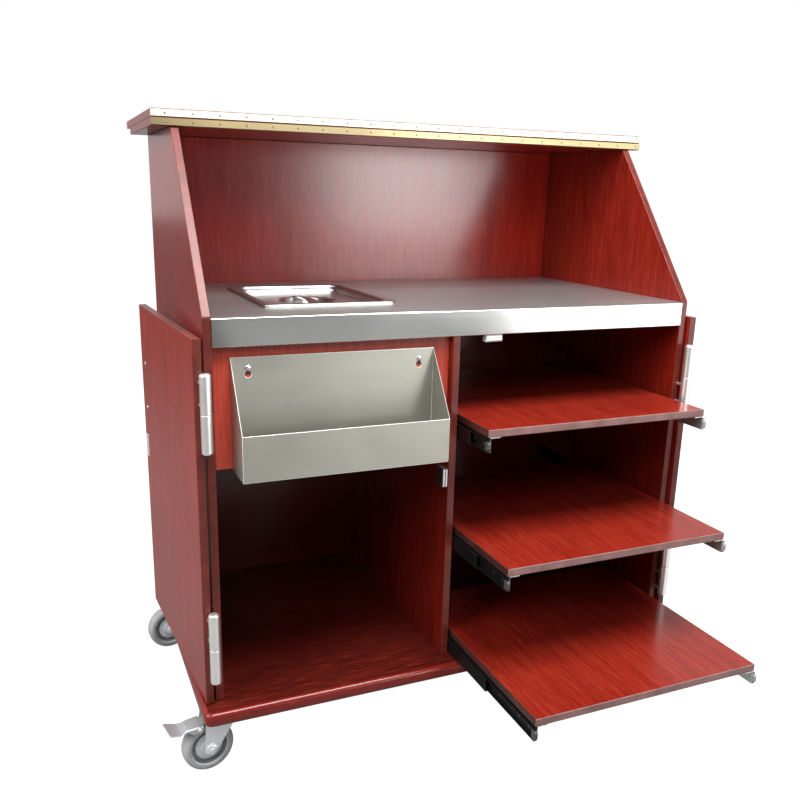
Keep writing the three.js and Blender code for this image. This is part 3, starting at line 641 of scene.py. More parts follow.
# thin solids keep their own mesh and get a small rounding on their edges
dressSettings = {"weld": 1e-5, "sharperThan": math.radians(50)}


def dressNode(node, material, rounding=0.4, steps=2, edge=None):
    solid = nodes[node]
    solid.data.materials.clear()
    solid.data.materials.append(material)
    if edge:
        solid.data.materials.append(edge)
    weld = solid.modifiers.new("weld", "WELD")
    weld.merge_threshold = dressSettings["weld"]
    bevel = solid.modifiers.new("rounding", "BEVEL")
    bevel.width = rounding * mm
    bevel.segments = steps
    bevel.limit_method = "ANGLE"
    bevel.angle_limit = dressSettings["sharperThan"]
    bevel.harden_normals = False
    bevel.material = 1 if edge else -1
    solid.data.polygons.foreach_set("use_smooth", np.ones(len(solid.data.polygons), bool))
    solid.modifiers.new("faceNormals", "WEIGHTED_NORMAL")


# body boards

boardSettings = {"thick": 15, "bevel": 1.2, "cornerRadius": 0.8, "slopeStart": 874, "slopeTop": 248,
                 "slopeRound": 4}


def plainBoard(low, high, axis):
    return boxBoard(low, high, axis, boardSettings["cornerRadius"], boardSettings["bevel"])


def addBoard(name, node, axis, material):
    points, faces, slots = plainBoard(*nodeBox(node), axis)
    addPiece(name, "cabinet", points, faces, [material, boardEdging], slots, (node,))


# shelf: the banding on its front edge is painted paler, as painted light, and on its sides darker, as painted
# shade
def addShelf(level):
    low, high = nodeBox(level + "_shelf")
    points, faces, slots = plainBoard(low, high, "z")
    sides = np.array(faces[:-2])
    front = points[sides][..., 1].max(1) < low[1] + 2 * boardSettings["bevel"]
    slots[:-2] = np.where(front, 1, 2).tolist()
    finishes = [shelfWood, litShelfEdging, shadedShelfSideEdging]
    addPiece(level + "ShelfBoard", level + "_pull_out_shelf", points, faces, finishes, slots,
             (level + "_shelf",))


def addSidePanel(name, node):
    low, high = nodeBox(node)
    corners = [
        (low[1], low[2]),
        (high[1], low[2]),
        (high[1], high[2]),
        (boardSettings["slopeTop"], high[2]),
        (low[1], boardSettings["slopeStart"]),
    ]
    radii = [boardSettings["cornerRadius"]] * 4 + [boardSettings["slopeRound"]]
    outline = roundedOutline(corners, radii, 3)
    points, faces, slots = boardShape(outline, "x", low[0], high[0], boardSettings["bevel"])
    addPiece(name, "cabinet", points, faces, [uprightWood, boardEdging], slots, (node,))


addSidePanel("leftSidePanel", "left_side_panel")
addSidePanel("rightSidePanel", "right_side_panel")
addBoard("backPanel", "back_panel", "y", backWood)
addBoard("centreDivider", "center_divider", "x", uprightWood)
addBoard("counterStretcher", "counter_stretcher", "y", uprightWood)
for level in ("bottom", "middle", "top"):
    addShelf(level)
print("body boards done")

# front panel of the left bay, with the screws that the rail hangs on, and a dark disc below each as painted
# shade in the keyhole
railScrew = {"headRadius": 5.4, "headHeight": 2.8, "shankRadius": 2.5, "shankIn": 1, "clearance": 1.6,
             "drop": 19, "inset": 31, "keyholeShadeRadius": 9, "keyholeShadeThick": 0.4, "keyholeShadeRound": 0.2,
             "keyholeShadeDrop": 4}


def addRailPanel():
    low, high = nodeBox("rail_panel")
    railLow, railHigh = nodeBox("bottle_rail")
    low[1] = high[1] - boardSettings["thick"]
    points, faces, slots = plainBoard(low, high, "y")
    finishes = [fasciaWood, boardEdging]
    addPiece("railPanel", "cabinet", points, faces, finishes, slots, ("rail_panel",))
    # domed head, then the shank back into the panel
    radius, height, shank = railScrew["headRadius"], railScrew["headHeight"], railScrew["shankRadius"]
    front = railHigh[1] - railScrew["clearance"]
    curve = np.linspace(0, math.pi / 2, 6)
    dome = np.stack((radius * np.sin(curve), front - height * np.cos(curve)), 1)
    stem = [(radius, front), (shank, front), (shank, low[1] + railScrew["shankIn"])]
    profile = np.concatenate(([(tiny, front - height)], dome[1:], stem))
    # a thin dark disc on the panel's face, a little below each screw, paints the keyhole's shade
    face = low[1] - railScrew["keyholeShadeThick"]
    rim, shadeRadius = railScrew["keyholeShadeRound"], railScrew["keyholeShadeRadius"]
    disc = [(tiny, face), (shadeRadius - rim, face), (shadeRadius, face + rim), (shadeRadius, low[1] + rim)]
    z = railHigh[2] - railScrew["drop"]
    screws, keyholeShades = [], []
    for x in (railLow[0] + railScrew["inset"], railHigh[0] - railScrew["inset"]):
        screws.append(turnedShape(profile, (x, 0, z), "y", 24))
        keyholeShades.append(turnedShape(disc, (x, 0, z - railScrew["keyholeShadeDrop"]), "y", 24))
    addShapes("railScrews", "cabinet", screws, [brightSteel])
    addShapes("railKeyholeShades", "cabinet", keyholeShades, [keyholeShadeDisc])


addRailPanel()

# base board: a slab with round corners and a wide rounding on its edges
baseSettings = {"corner": 20, "cornerSteps": 8, "round": 9, "roundSteps": 6}


def addBase():
    steps = baseSettings["cornerSteps"], baseSettings["roundSteps"]
    shape = boxBoard(*nodeBox("base_board"), "z", baseSettings["corner"], baseSettings["round"], *steps)
    points, faces, slots = shape
    finishes = [baseLacquer, lacquerEdge]
    addPiece("baseBoard", "cabinet", points, faces, finishes, slots, ("base_board",), 60)


addBase()

# bar top boards, brass strips and their nails
barSettings = {"chamfer": 10, "chamferRound": 3, "cornerRound": 1.2, "edgeRound": 1.0, "stripRound": 0.25,
               "nailPitch": 50, "firstNail": -9, "lastNail": 12, "nailRadius": 2.1, "nailHeight": 0.9}


def barOutline(low, high):
    chamfer = barSettings["chamfer"]
    corners = [
        (low[0], low[1]),
        (high[0] - chamfer, low[1]),
        (high[0], low[1] + chamfer),
        (high[0], high[1]),
        (low[0], high[1]),
    ]
    small, wide = barSettings["cornerRound"], barSettings["chamferRound"]
    return roundedOutline(corners, (small, wide, wide, small, small), 3)


def addBarTop():
    for name, node in (("barTopLower", "bar_top_lower"), ("barTopUpper", "bar_top_upper")):
        low, high = nodeBox(node)
        outline = barOutline(low, high)
        points, faces, slots = boardShape(outline, "z", low[2], high[2], barSettings["edgeRound"])
        addPiece(name, "cabinet", points, faces, [barWood, boardEdging], slots, (node,))
    radius, height = barSettings["nailRadius"], barSettings["nailHeight"]
    curve = np.linspace(0, math.pi / 2, 4)
    nails = []
    for node, finish in (("bar_strip_lower", stripBrass), ("bar_strip_upper", highlightBrass)):
        dressNode(node, finish, barSettings["stripRound"])
        low, high = nodeBox(node)
        z = (low[2] + high[2]) / 2
        profile = np.stack((radius * np.cos(curve) + tiny, low[1] - height * np.sin(curve)), 1)
        last = high[0] - barSettings["lastNail"]
        for x in np.arange(barSettings["firstNail"], last, barSettings["nailPitch"]):
            nails.append(turnedShape(profile[::-1], (x, 0, z), "y", 10))
    addShapes("stripNails", "cabinet", nails, [nailSteel])


addBarTop()
print("base and bar top done")

# counter: a flat sheet with a rounded front fold and apron, open under the pan
counterSettings = {"foldRadius": 3.0, "apronFold": 2.0, "holeInset": 11, "holeCorner": 2, "collar": 6,
                   "samples": 24, "sheet": 1.1}


# rounded rectangle with the same count of points on each side and corner
def roundedRect(left, right, front, back, radius, cornerSteps=8, sideSteps=6):
    angle = np.linspace(0, math.pi / 2, cornerSteps + 1)
    centres = ((right - radius, front + radius, -90), (right - radius, back - radius, 0),
               (left + radius, back - radius, 90), (left + radius, front + radius, 180))
    arcs = []
    for x, y, turn in centres:
        sweep = angle + math.radians(turn)
        arcs.append(np.stack((x + radius * np.cos(sweep), y + radius * np.sin(sweep)), 1))
    t = np.linspace(0, 1, sideSteps + 1)[1:-1, None]
    lines = [arcs[side - 1][-1] * (1 - t) + arcs[side][0] * t for side in range(4)]
    return np.concatenate([block for side in range(4) for block in (lines[side], arcs[side])])


def insetRect(low, high, inset, radius):
    return roundedRect(low[0] + inset, high[0] - inset, low[1] + inset, high[1] - inset, radius)


def addCounter():
    low, high = nodeBox("counter_top")
    panLow, panHigh = nodeBox("food_pan")
    fold, out = counterSettings["foldRadius"], counterSettings["collar"]
    hole = insetRect(panLow, panHigh, counterSettings["holeInset"], counterSettings["holeCorner"])
    collar = insetRect(panLow, panHigh, -out, tiny)
    top = high[2]
    ring = np.concatenate((hole, collar))
    ringPoints = np.column_stack((ring, np.full(len(ring), top)))
    shapes = [(ringPoints, gridFaces(2, len(hole))[:, ::-1], 0)]
    # the rest of the top in four flat strips round the collar
    left, right, near, far = panLow[0] - out, panHigh[0] + out, panLow[1] - out, panHigh[1] + out
    frontLine, backLine = low[1] + fold, high[1]
    strips = (
        (low[0], left, frontLine, backLine),
        (right, high[0], frontLine, backLine),
        (left, right, frontLine, near),
        (left, right, far, backLine),
    )
    for x0, x1, y0, y1 in strips:
        corners = [(x0, y0, top), (x1, y0, top), (x1, y1, top), (x0, y1, top)]
        shapes.append((corners, [[0, 1, 2, 3]], 0))
    # front fold and apron: the profile runs from the top round the fold, down and back in under
    angle = np.linspace(0, math.pi / 2, 7)
    back = counterSettings["apronFold"]
    bend = np.stack((frontLine - fold * np.sin(angle), top - fold + fold * np.cos(angle)), 1)
    under = angle[::2]
    hem = np.stack((low[1] + back - back * np.cos(under), low[2] + back - back * np.sin(under)), 1)
    profile = np.concatenate((bend, hem))
    xs = np.linspace(low[0], high[0], counterSettings["samples"])
    grid = np.empty((len(profile), len(xs), 3))
    grid[..., 0] = xs
    grid[..., 1] = profile[:, :1]
    grid[..., 2] = profile[:, 1:]
    shapes.append((grid, gridFaces(len(profile), len(xs), False)[:, ::-1], 1))
    finishes = [counterSteel, apronSteel]
    piece = addShapes("counterSheet", "cabinet", shapes, finishes, ("counter_top",), 50)
    thicken(piece, counterSettings["sheet"])


addCounter()

# pan and lid: stacked rounded rectangles, each row (inset, height from the rim, corner radius)
panSettings = {
    "rows": ((0, -3, 14), (0, -1.2, 14), (0.4, -0.3, 14), (1.4, 0, 13.5), (10.5, 0, 28), (12.3, -0.8, 28),
             (13.4, -3, 28)),
    "wall": 13.8, "corner": 28, "floorFillet": 12, "floor": 1.2, "sheet": 0.9,
}
# the dish's rows are (radius, height from the panel round it),
# the strap's section (share of half width, height)
lidSettings = {
    "rows": ((0, -2.6, 14), (0, -1.2, 14), (0.5, -0.3, 14), (1.6, 0, 13.5), (13.2, 0, 26), (15.2, -0.8, 26),
             (16.2, -2.4, 26), (16.8, -5.2, 26), (18.2, -6, 26), (22.6, -6.2, 20), (24.4, -7.2, 19),
             (25.2, -9, 18), (26, -13, 17.5), (27.8, -14, 17)),
    "dishRows": ((61.4, 0), (59, -0.8), (57.8, -2.4), (52, -12), (49, -13.6), (45, -14), (18, -14)),
    "dishCentre": 165,
    "strapHalf": 11, "strapWaist": (0.8, 0.35), "strapReach": 62, "strapArch": 3, "strapLift": 0.4,
    "strapSection": ((-1, -0.9), (-1, 0.4), (-0.85, 0.9), (0.85, 0.9), (1, 0.4), (1, -0.9)), "sheet": 0.8,
}


def stackedRects(low, high, rows):
    rings = [insetRect(low, high, inset, corner) for inset, height, corner in rows]
    return np.stack([np.column_stack((ring, np.full(len(ring), row[1]))) for ring, row in zip(rings, rows)])


def addPan():
    low, high = nodeBox("food_pan")
    wall, corner, fillet = panSettings["wall"], panSettings["corner"], panSettings["floorFillet"]
    top, floor = high[2], low[2] + panSettings["floor"]
    rows = [(inset, top + rise, radius) for inset, rise, radius in panSettings["rows"]]
    for angle in np.linspace(0, math.pi / 2, 5):
        rows.append((wall + fillet * (1 - np.cos(angle)), floor + fillet * (1 - np.sin(angle)), corner))
    grid = stackedRects(low, high, rows)
    shapes = [(grid, cappedFaces(*grid.shape[:2], closed=False), 0)]
    piece = addShapes("foodPan", "lift_out_pan", shapes, [panSteel], ("food_pan",), 60)
    thicken(piece, panSettings["sheet"])


def addLid():
    settings = lidSettings
    low, high = nodeBox("pan_lid")
    top = high[2]
    rim = stackedRects(low, high, [(inset, top + rise, radius) for inset, rise, radius in settings["rows"]])
    centre = np.array([(low[0] + high[0]) / 2, low[1] + settings["dishCentre"]])
    direction = rim[-1][:, :2] - centre
    direction /= np.linalg.norm(direction, axis=1, keepdims=True)
    floor = top + settings["rows"][-1][1]
    bowl = np.empty((len(settings["dishRows"]), *rim.shape[1:]))
    dish = np.array(settings["dishRows"], float)
    bowl[..., :2] = centre + direction * dish[:, :1, None]
    bowl[..., 2] = floor + dish[:, 1:]
    grid = np.concatenate((rim, bowl))
    # strap: a flat band over the dish, arched a little and narrowest at its middle
    t = np.linspace(-1, 1, 17)
    section = np.array(settings["strapSection"])
    least, growth = settings["strapWaist"]
    waist = settings["strapHalf"] * (least + growth * t ** 2)
    strap = np.empty((len(t), len(section), 3))
    strap[..., 0] = centre[0] + waist[:, None] * section[:, 0]
    strap[..., 1] = (centre[1] + t * settings["strapReach"])[:, None]
    arch = floor + settings["strapLift"] + settings["strapArch"] * (1 - t ** 2)
    strap[..., 2] = arch[:, None] + section[:, 1]
    strapFaces = [face[::-1] for face in cappedFaces(len(t), len(section))]
    shapes = [(grid, cappedFaces(*grid.shape[:2], closed=False), 0), (strap, strapFaces, 0)]
    piece = addShapes("panLid", "lift_off_lid", shapes, [panSteel], ("pan_lid",), 60)
    thicken(piece, settings["sheet"])


addPan()
addLid()
# the rail's edges get the painted highlight steel
dressNode("bottle_rail", railSteel, 0.7, edge=railEdgeHighlight)
print("steel work done")

# doors: board, bow handle with feet, screw heads and strike plate, turned about the hinge axis;
# feet and screw heads are rows of (radius, height)
doorSettings = {
    "left": {"side": -1, "width": 467},
    "right": {"side": 1, "width": 538},
    "foldGap": 4, "thick": 15, "hingeEdge": 11, "bottom": 153, "top": 841,
    "handleReach": 32, "handleRadius": 5, "handlePitch": 96, "handleHeight": 671.5, "handleFromFree": 36,
    "standoff": 1,
    "foot": ((8.5, 0), (8.5, 1.6), (7.5, 2.6), (5.2, 3.4)),
    "screwHead": ((4.6, 0), (4.4, 0.9), (3.2, 1.5), (tiny, 1.7)),
    "strikeSize": (1.5, 20, 50), "strikeHeight": 535, "strikeInset": 12,
    "strikeCorner": 3, "strikeBevel": 0.4,
}


def addDoor(hand):
    settings = doorSettings
    side, width = settings[hand]["side"], settings[hand]["width"]
    axis = jointPlace(hand + "_door_hinge")[:2]
    along = settings["hingeEdge"] + width - settings["handleFromFree"]
    reach = settings["handleReach"]
    fold = -side * math.atan2(reach + settings["standoff"] - settings["foldGap"], along)
    near = axis[0] + side * settings["foldGap"] / 2
    far = near + side * settings["thick"]
    y0 = axis[1] + settings["hingeEdge"]
    freeEdge = y0 + width
    body = hand + "_door_leaf"

    def turned(points):
        return turnedAbout(points, axis, fold)

    low = np.array([min(near, far), y0, settings["bottom"]])
    high = np.array([max(near, far), freeEdge, settings["top"]])
    points, faces, slots = plainBoard(low, high, "x")
    finishes = [doorWood, boardEdging]
    addPiece(hand + "DoorBoard", body, turned(points), faces, finishes, slots, (hand + "_door",))
    # bow: out and back along a cubic curve, with a small round foot at each end
    half, centre = settings["handlePitch"] / 2, settings["handleHeight"]
    handleY = freeEdge - settings["handleFromFree"]
    t = np.linspace(0, 1, 33)
    out = (reach - settings["handleRadius"]) / 0.75 * 3 * t * (1 - t)
    rise = centre - half + 2 * half * (3 * t ** 2 - 2 * t ** 3)
    path = np.stack((near - side * out, np.full_like(t, handleY), rise), 1)
    handle, screws = [barShape(path, settings["handleRadius"])], []
    for z in (centre - half, centre + half):
        handle.append(turnedShape(outProfile(settings["foot"], -side), (near, handleY, z), "x", 24))
        screws.append(turnedShape(outProfile(settings["screwHead"], side), (far, handleY, z), "x", 20))
    handleNode = (hand + "_door_handle",)
    addShapes(hand + "BowHandle", body, handle, [brightSteel], handleNode, move=turned)
    # screw heads on the other face, behind the handle's feet
    addShapes(hand + "HandleScrews", body, screws, [brightSteel], move=turned)
    thick, plateWidth, plateHeight = settings["strikeSize"]
    edge, middle = freeEdge - settings["strikeInset"], settings["strikeHeight"]
    low = np.array([min(far, far + side * thick), edge - plateWidth, middle - plateHeight / 2])
    high = np.array([max(far, far + side * thick), edge, middle + plateHeight / 2])
    points, faces, slots = boxBoard(low, high, "x", settings["strikeCorner"], settings["strikeBevel"], 4)
    finishes = [zincSteel, zincSteel]
    addPiece(hand + "StrikePlate", body, turned(points), faces, finishes, slots)
    return axis, fold


# hinge barrels: turned halves with rounded ends and a fine seam, with the studs' necks
hingeSettings = {"radius": 10, "height": 142, "seam": 0.6, "seamRound": 0.7, "endRound": 4.6, "studEnd": 16,
                 "studRadius": 3, "middles": {"upper": 713, "lower": 270}, "panelStud": 6, "doorStud": 7,
                 "panelNeck": (4, 22), "doorNeck": (4, 13)}


def barrelProfile(bottom, top, roundBottom, roundTop):
    radius = hingeSettings["radius"]
    angle = np.linspace(0, math.pi / 2, 6)

    def end(level, size, sign):
        return np.stack((radius - size + size * np.sin(angle), level + sign * size * (1 - np.cos(angle))), 1)

    lower = end(bottom, roundBottom, 1)
    upper = end(top, roundTop, -1)[::-1]
    return np.concatenate(([(tiny, bottom)], lower, upper, [(tiny, top)]))


def addHinge(hand, level, axis, fold):
    settings = hingeSettings
    side = doorSettings[hand]["side"]
    middle, half, gap = settings["middles"][level], settings["height"] / 2, settings["seam"] / 2
    near, far = settings["studEnd"], half - settings["studEnd"]
    seam, end = settings["seamRound"], settings["endRound"]

    def halfShapes(profile, neck, across, sign):
        stud = [(settings["studRadius"], depth) for depth in neck]
        shapes = [turnedShape(profile, (*axis, 0), "z", 40)]
        for step in (near, far):
            shapes.append(turnedShape(stud, (axis[0] + across, axis[1], middle + sign * step), "y", 16))
        return shapes

    name, node = hand + level.capitalize() + "Hinge", f"{hand}_{level}_hinge"
    lower = barrelProfile(middle - half, middle - gap, end, seam)
    shapes = halfShapes(lower, settings["panelNeck"], -side * settings["panelStud"], -1)
    addShapes(name + "PinHalf", "cabinet", shapes, [hingeSteel], (node + "_pin",))
    upper = barrelProfile(middle + gap, middle + half, seam, end)
    shapes = halfShapes(upper, settings["doorNeck"], side * settings["doorStud"], 1)
    addShapes(name + "SocketHalf", hand + "_door_leaf", shapes, [hingeSteel], (node + "_socket",),
              move=lambda points: turnedAbout(points, axis, fold))


for hand in ("left", "right"):
    doorAxis, doorFold = addDoor(hand)
    for level in ("upper", "lower"):
        addHinge(hand, level, doorAxis, doorFold)
print("doors and hinges done")

# slides keep their solids; rivets show along the inner members, and a rounded stop closes each front end
slideSettings = {
    "rounding": 0.3, "rivetRadius": 3.2, "rivetHeight": 0.9, "rivetShoulder": (0.9, 0.7),
    "rivets": (26, 60, 130, 210, 300, 400),
    "stopAhead": 4, "stopBack": 9, "stopHalf": 8.5, "stopRound": 5, "stopCorner": 1, "stopBevel": 0.8,
    "stopIn": 1.2, "stopThick": 6.4,
}
slideSides = {"left": -1, "right": 1}


# inner member's box, and the height of the middle of its track
def innerMember(level, hand):
    low, high = nodeBox(f"{level}_{hand}_slide_inner")
    trackLow, trackHigh = nodeBox(f"{level}_{hand}_slide_middle")
    return low, high, (trackLow[2] + trackHigh[2]) / 2


def addSlideRivets(level):
    radius, height = slideSettings["rivetRadius"], slideSettings["rivetHeight"]
    wide, tall = slideSettings["rivetShoulder"]
    rows = ((radius, 0), (radius * wide, height * tall), (tiny, height))
    shapes = []
    for hand, side in slideSides.items():
        low, high, z = innerMember(level, hand)
        outerFace = webPlace(low[0], high[0], side)
        for step in slideSettings["rivets"]:
            shapes.append(turnedShape(outProfile(rows, side), (outerFace, low[1] + step, z), "x", 14))
    addShapes(level + "SlideRivets", level + "_pull_out_shelf", shapes, [rivetSteel])


# stop: a rounded lug inside the inner channel, a little ahead of its end
def addSlideStops(level):
    settings = slideSettings
    half, wide, small = settings["stopHalf"], settings["stopRound"], settings["stopCorner"]
    shapes = []
    for hand, side in slideSides.items():
        low, high, z = innerMember(level, hand)
        near = webPlace(low[0], high[0], side, 1.0) + side * settings["stopIn"]
        far = near + side * settings["stopThick"]
        front, back = low[1] - settings["stopAhead"], low[1] + settings["stopBack"]
        corners = [(front, z - half), (back, z - half), (back, z + half), (front, z + half)]
        outline = roundedOutline(corners, (wide, small, small, wide), 6)
        points, faces, _ = boardShape(outline, "x", min(near, far), max(near, far), settings["stopBevel"])
        shapes.append((points, faces, 0 if hand == "left" else 1))
    finishes = [shadedStopPlastic, litStopPlastic]
    addShapes(level + "SlideStops", level + "_pull_out_shelf", shapes, finishes)


for level in ("bottom", "middle", "top"):
    for hand, finish in (("left", shadedLeftSlideSteel), ("right", litRightSlideSteel)):
        for member in ("outer", "middle", "inner"):
            dressNode(f"{level}_{hand}_slide_{member}", finish, slideSettings["rounding"])
    addSlideRivets(level)
    addSlideStops(level)

# magnetic catches: steel poles in the front face of each case
catchSettings = {"poleWidth": 3.2, "poleGap": 5.4, "margin": 2.5, "proud": 0.5, "depth": 3, "corner": 0.6,
                 "bevel": 0.3, "caseRound": 1.2}


def addCatchPoles(name, node, along):
    settings = catchSettings
    low, high = nodeBox(node)
    index = {"x": 0, "z": 2}
    length, across = index[along], index["z" if along == "x" else "x"]
    shapes = []
    for step in (-1, 1):
        poleLow, poleHigh = low.copy(), high.copy()
        poleLow[1], poleHigh[1] = low[1] - settings["proud"], low[1] + settings["depth"]
        centre = (low[across] + high[across]) / 2 + step * settings["poleGap"] / 2
        poleLow[across] = centre - settings["poleWidth"] / 2
        poleHigh[across] = centre + settings["poleWidth"] / 2
        poleLow[length] += settings["margin"]
        poleHigh[length] -= settings["margin"]
        points, faces, _ = boxBoard(poleLow, poleHigh, "y", settings["corner"], settings["bevel"])
        shapes.append((points, faces, 0))
    addShapes(name, "cabinet", shapes, [zincSteel])


dressNode("left_door_catch", darkCatchPlastic, catchSettings["caseRound"], 3)
dressNode("right_door_catch", catchPlastic, catchSettings["caseRound"], 3)
addCatchPoles("leftCatchPoles", "left_door_catch", "z")
addCatchPoles("rightCatchPoles", "right_door_catch", "x")

# casters: turned tyre and hub, fork from its solid; the tyre's lip has rows of (out from the hub,
# in from the side), the hub's face rows of (radius, height from the tyre's side)
wheelSettings = {
    "turn": math.radians(10), "radius": 50, "half": 15, "hubOuter": 37.6, "hubColumns": 64, "tyreColumns": 72,
    "crownDrop": 3.4, "crownPower": 3.2, "crownIn": 1.2, "lip": ((0, 1.5), (1.5, 0.2), (5, 0)),
    "hubFace": ((5.3, 0), (14, 0), (15.6, -0.8), (16.6, -3.6), (18.4, -4.8), (25.6, -5.6), (27.2, -6.6),
                (27.8, -9), (28.4, -12), (33.6, -12), (34.4, -9), (35.2, -3), (37.4, -1.2)),
    "groove": (27, 35.5), "forkRound": 1.0,
}


def addWheel(place):
    settings = wheelSettings
    low, high = nodeBox(place + "_caster_wheel")
    centre = (low + high) / 2
    radius, half, hub = settings["radius"], settings["half"], settings["hubOuter"]
    body, turn = place + "_rolling_wheel", settings["turn"]
    # tyre: a crowned tread between two lips
    t = np.linspace(-1, 1, 15)
    drop = settings["crownDrop"] * np.abs(t) ** settings["crownPower"]
    crown = np.stack((radius - drop, t * (half - settings["crownIn"])), 1)
    lip = [(hub + out, inward - half) for out, inward in settings["lip"]]
    tyre = np.concatenate((lip, crown, mirrored(lip)))
    points, faces, _ = turnedRing(tyre, centre, "y", settings["tyreColumns"])
    points = turnedAbout(points, centre[:2], turn)
    addPiece(place + "Tyre", body, points, faces, [tyreRubber], None, (), 50)
    face = [(row, half + rise) for row, rise in settings["hubFace"]][::-1]
    hubProfile = mirrored(face) + face
    points, faces, _ = turnedRing(hubProfile, centre, "y", settings["hubColumns"])
    points = turnedAbout(points, centre[:2], turn)
    # the groove between the disc and the rim gets a darker plastic, as painted shade
    row = np.array(hubProfile)[:, 0]
    after = np.roll(row, -1)
    start, end = settings["groove"]
    inGroove = (np.minimum(row, after) > start) & (np.maximum(row, after) < end)
    slots = np.repeat(inGroove.astype(int), settings["hubColumns"])
    finishes, wheelNode = [hubPlastic, grooveShade], (place + "_caster_wheel",)
    addPiece(place + "Hub", body, points, faces, finishes, slots, wheelNode, 50)


# fork hardware: a washer, a six-sided nut and the rounded end of the axle on each leg;
# each has its count of sides and rows of (radius, distance out from the leg)
axleSettings = {"trail": 35, "height": 50, "leg": 21, "rows": (
    (32, ((11.8, -0.5), (11.8, 1), (11.3, 1.4))),
    (6, ((10.8, 1), (10.8, 4.4), (9.4, 5.2))),
    (20, ((5.2, 4), (5.2, 6.6), (4, 7.6), (tiny, 8))),
)}


# turns what rides on a caster about its stem, to the angle at rest
def swivelled(place):
    centre = jointPlace(place + "_swivel_turn")
    return centre, lambda points: turnedAbout(points, centre[:2], wheelSettings["turn"])


def addAxleNuts(place):
    settings = axleSettings
    centre, move = swivelled(place)
    spot = (centre[0] - settings["trail"], centre[1], settings["height"])
    shapes = []
    for columns, rows in settings["rows"]:
        profile = [(radius, settings["leg"] + out) for radius, out in rows]
        shapes.append(turnedShape(profile, spot, "y", columns))
        shapes.append(turnedShape(mirrored(profile), spot, "y", columns))
    addShapes(place + "AxleNuts", place + "_swivel", shapes, [zincSteel], (), 30, move)


# brake pedal: one bent sheet, its section carried along the reach with cheeks folded down beside
# the wheel; each row gives distance from the pin, half width, cheek depth and rise
pedalSettings = {
    "pivot": (-30, 106), "slope": 0.05, "fold": 3.2, "sheet": 1.8,
    "rows": ((1, 13, 2, 0), (15.5, 13, 2.5, 0), (17.6, 19.6, 10, 0), (21, 19.8, 15, 0), (38, 19.6, 14, 0),
             (46, 18.5, 6, 0), (52, 17.5, 2, -1), (60, 20, 1.2, -1.5), (68, 23.4, 1, 0), (76, 24, 1, 2.6),
             (83, 23, 1, 6)),
    "rivetAt": (25, -7), "rivet": (4.4, 2.2), "rivetSunk": 0.3,
    "pin": (4, 17.4), "pinHead": (4.6, 1.8), "leg": 21,
}


def addPedal(place):
    settings = pedalSettings
    centre, move = swivelled(place)
    pivot = np.array([centre[0] + settings["pivot"][0], centre[1], settings["pivot"][1]])
    rows = np.array(settings["rows"], float)
    reach = np.linspace(rows[0, 0], rows[-1, 0], 64)
    half, cheek, rise = (np.interp(reach, rows[:, 0], rows[:, column])[:, None] for column in (1, 2, 3))
    fold = np.minimum(settings["fold"], cheek)
    angle = np.linspace(0, math.pi / 2, 6)[None]
    down = np.linspace(1, 0, 4)[None, :-1]
    flat = np.linspace(-1, 1, 7)[None, 1:-1]
    left = np.concatenate((-half + 0 * down, -half + fold * (1 - np.cos(angle))), 1)
    low = np.concatenate((-fold - (cheek - fold) * down, -fold * (1 - np.sin(angle))), 1)
    across = np.concatenate((left, (half - fold) * flat, -left[:, ::-1]), 1)
    height = np.concatenate((low, 0 * flat + 0 * half, low[:, ::-1]), 1)
    grid = np.empty((*across.shape, 3))
    grid[..., 0] = pivot[0] - reach[:, None]
    grid[..., 1] = pivot[1] + across
    grid[..., 2] = pivot[2] - settings["slope"] * reach[:, None] + rise + height
    body, pedalNode = place + "_brake", (place + "_brake_pedal",)
    shapes = [(grid, gridFaces(*across.shape, False), 0)]
    piece = addShapes(place + "Pedal", body, shapes, [pedalSteel], pedalNode, 60, move)
    thicken(piece, settings["sheet"])
    # cross pin with its heads, and a rivet on each cheek
    rivetReach, rivetDrop = settings["rivetAt"]
    pinRadius, pinHalf = settings["pin"]
    side = np.interp(rivetReach, rows[:, 0], rows[:, 1]) - settings["rivetSunk"]
    rivetSpot = pivot + (-rivetReach, 0, rivetDrop - settings["slope"] * rivetReach)
    curve = np.linspace(0, math.pi / 2, 5)
    shapes = [turnedShape([(pinRadius, -pinHalf), (pinRadius, pinHalf)], pivot, "y", 20)]
    for spot, start, head in ((rivetSpot, side, "rivet"), (pivot, settings["leg"], "pinHead")):
        radius, size = settings[head]
        dome = np.stack((radius * np.cos(curve) + tiny, start + size * np.sin(curve)), 1)
        shapes.append(turnedShape(dome, spot, "y", 20))
        shapes.append(turnedShape(mirrored(dome), spot, "y", 20))
    addShapes(place + "PedalPins", body, shapes, [zincSteel], move=move)


for place in ("front_left", "front_right", "rear_left", "rear_right"):
    addWheel(place)
    dressNode(place + "_caster_fork", zincSteel, wheelSettings["forkRound"], 3)
    addAxleNuts(place)
    if place.startswith("front"):
        addPedal(place)
print("slides and casters done")

# floor, light and camera
stageSettings = {
    "floorColour": (0.21, 0.21, 0.207), "floorHalf": 30, "roughness": 0.7, "dim": 0.99,
    "glow": 1.0, "diffuse": 0.016, "glossy": 0.64, "seen": 1.0,
    "sideGlow": ((0.08, 0.06), (0.62, 0.50), (2.42, 0.33), (4.40, 0.72)),
}


def addStaged(name, points, faces, material):
    mesh = bpy.data.meshes.new(name)
    mesh.from_pydata(points, [], faces)
    mesh.materials.append(material)
    thing = bpy.data.objects.new(name, mesh)
    bpy.context.scene.collection.objects.link(thing)
    return thing


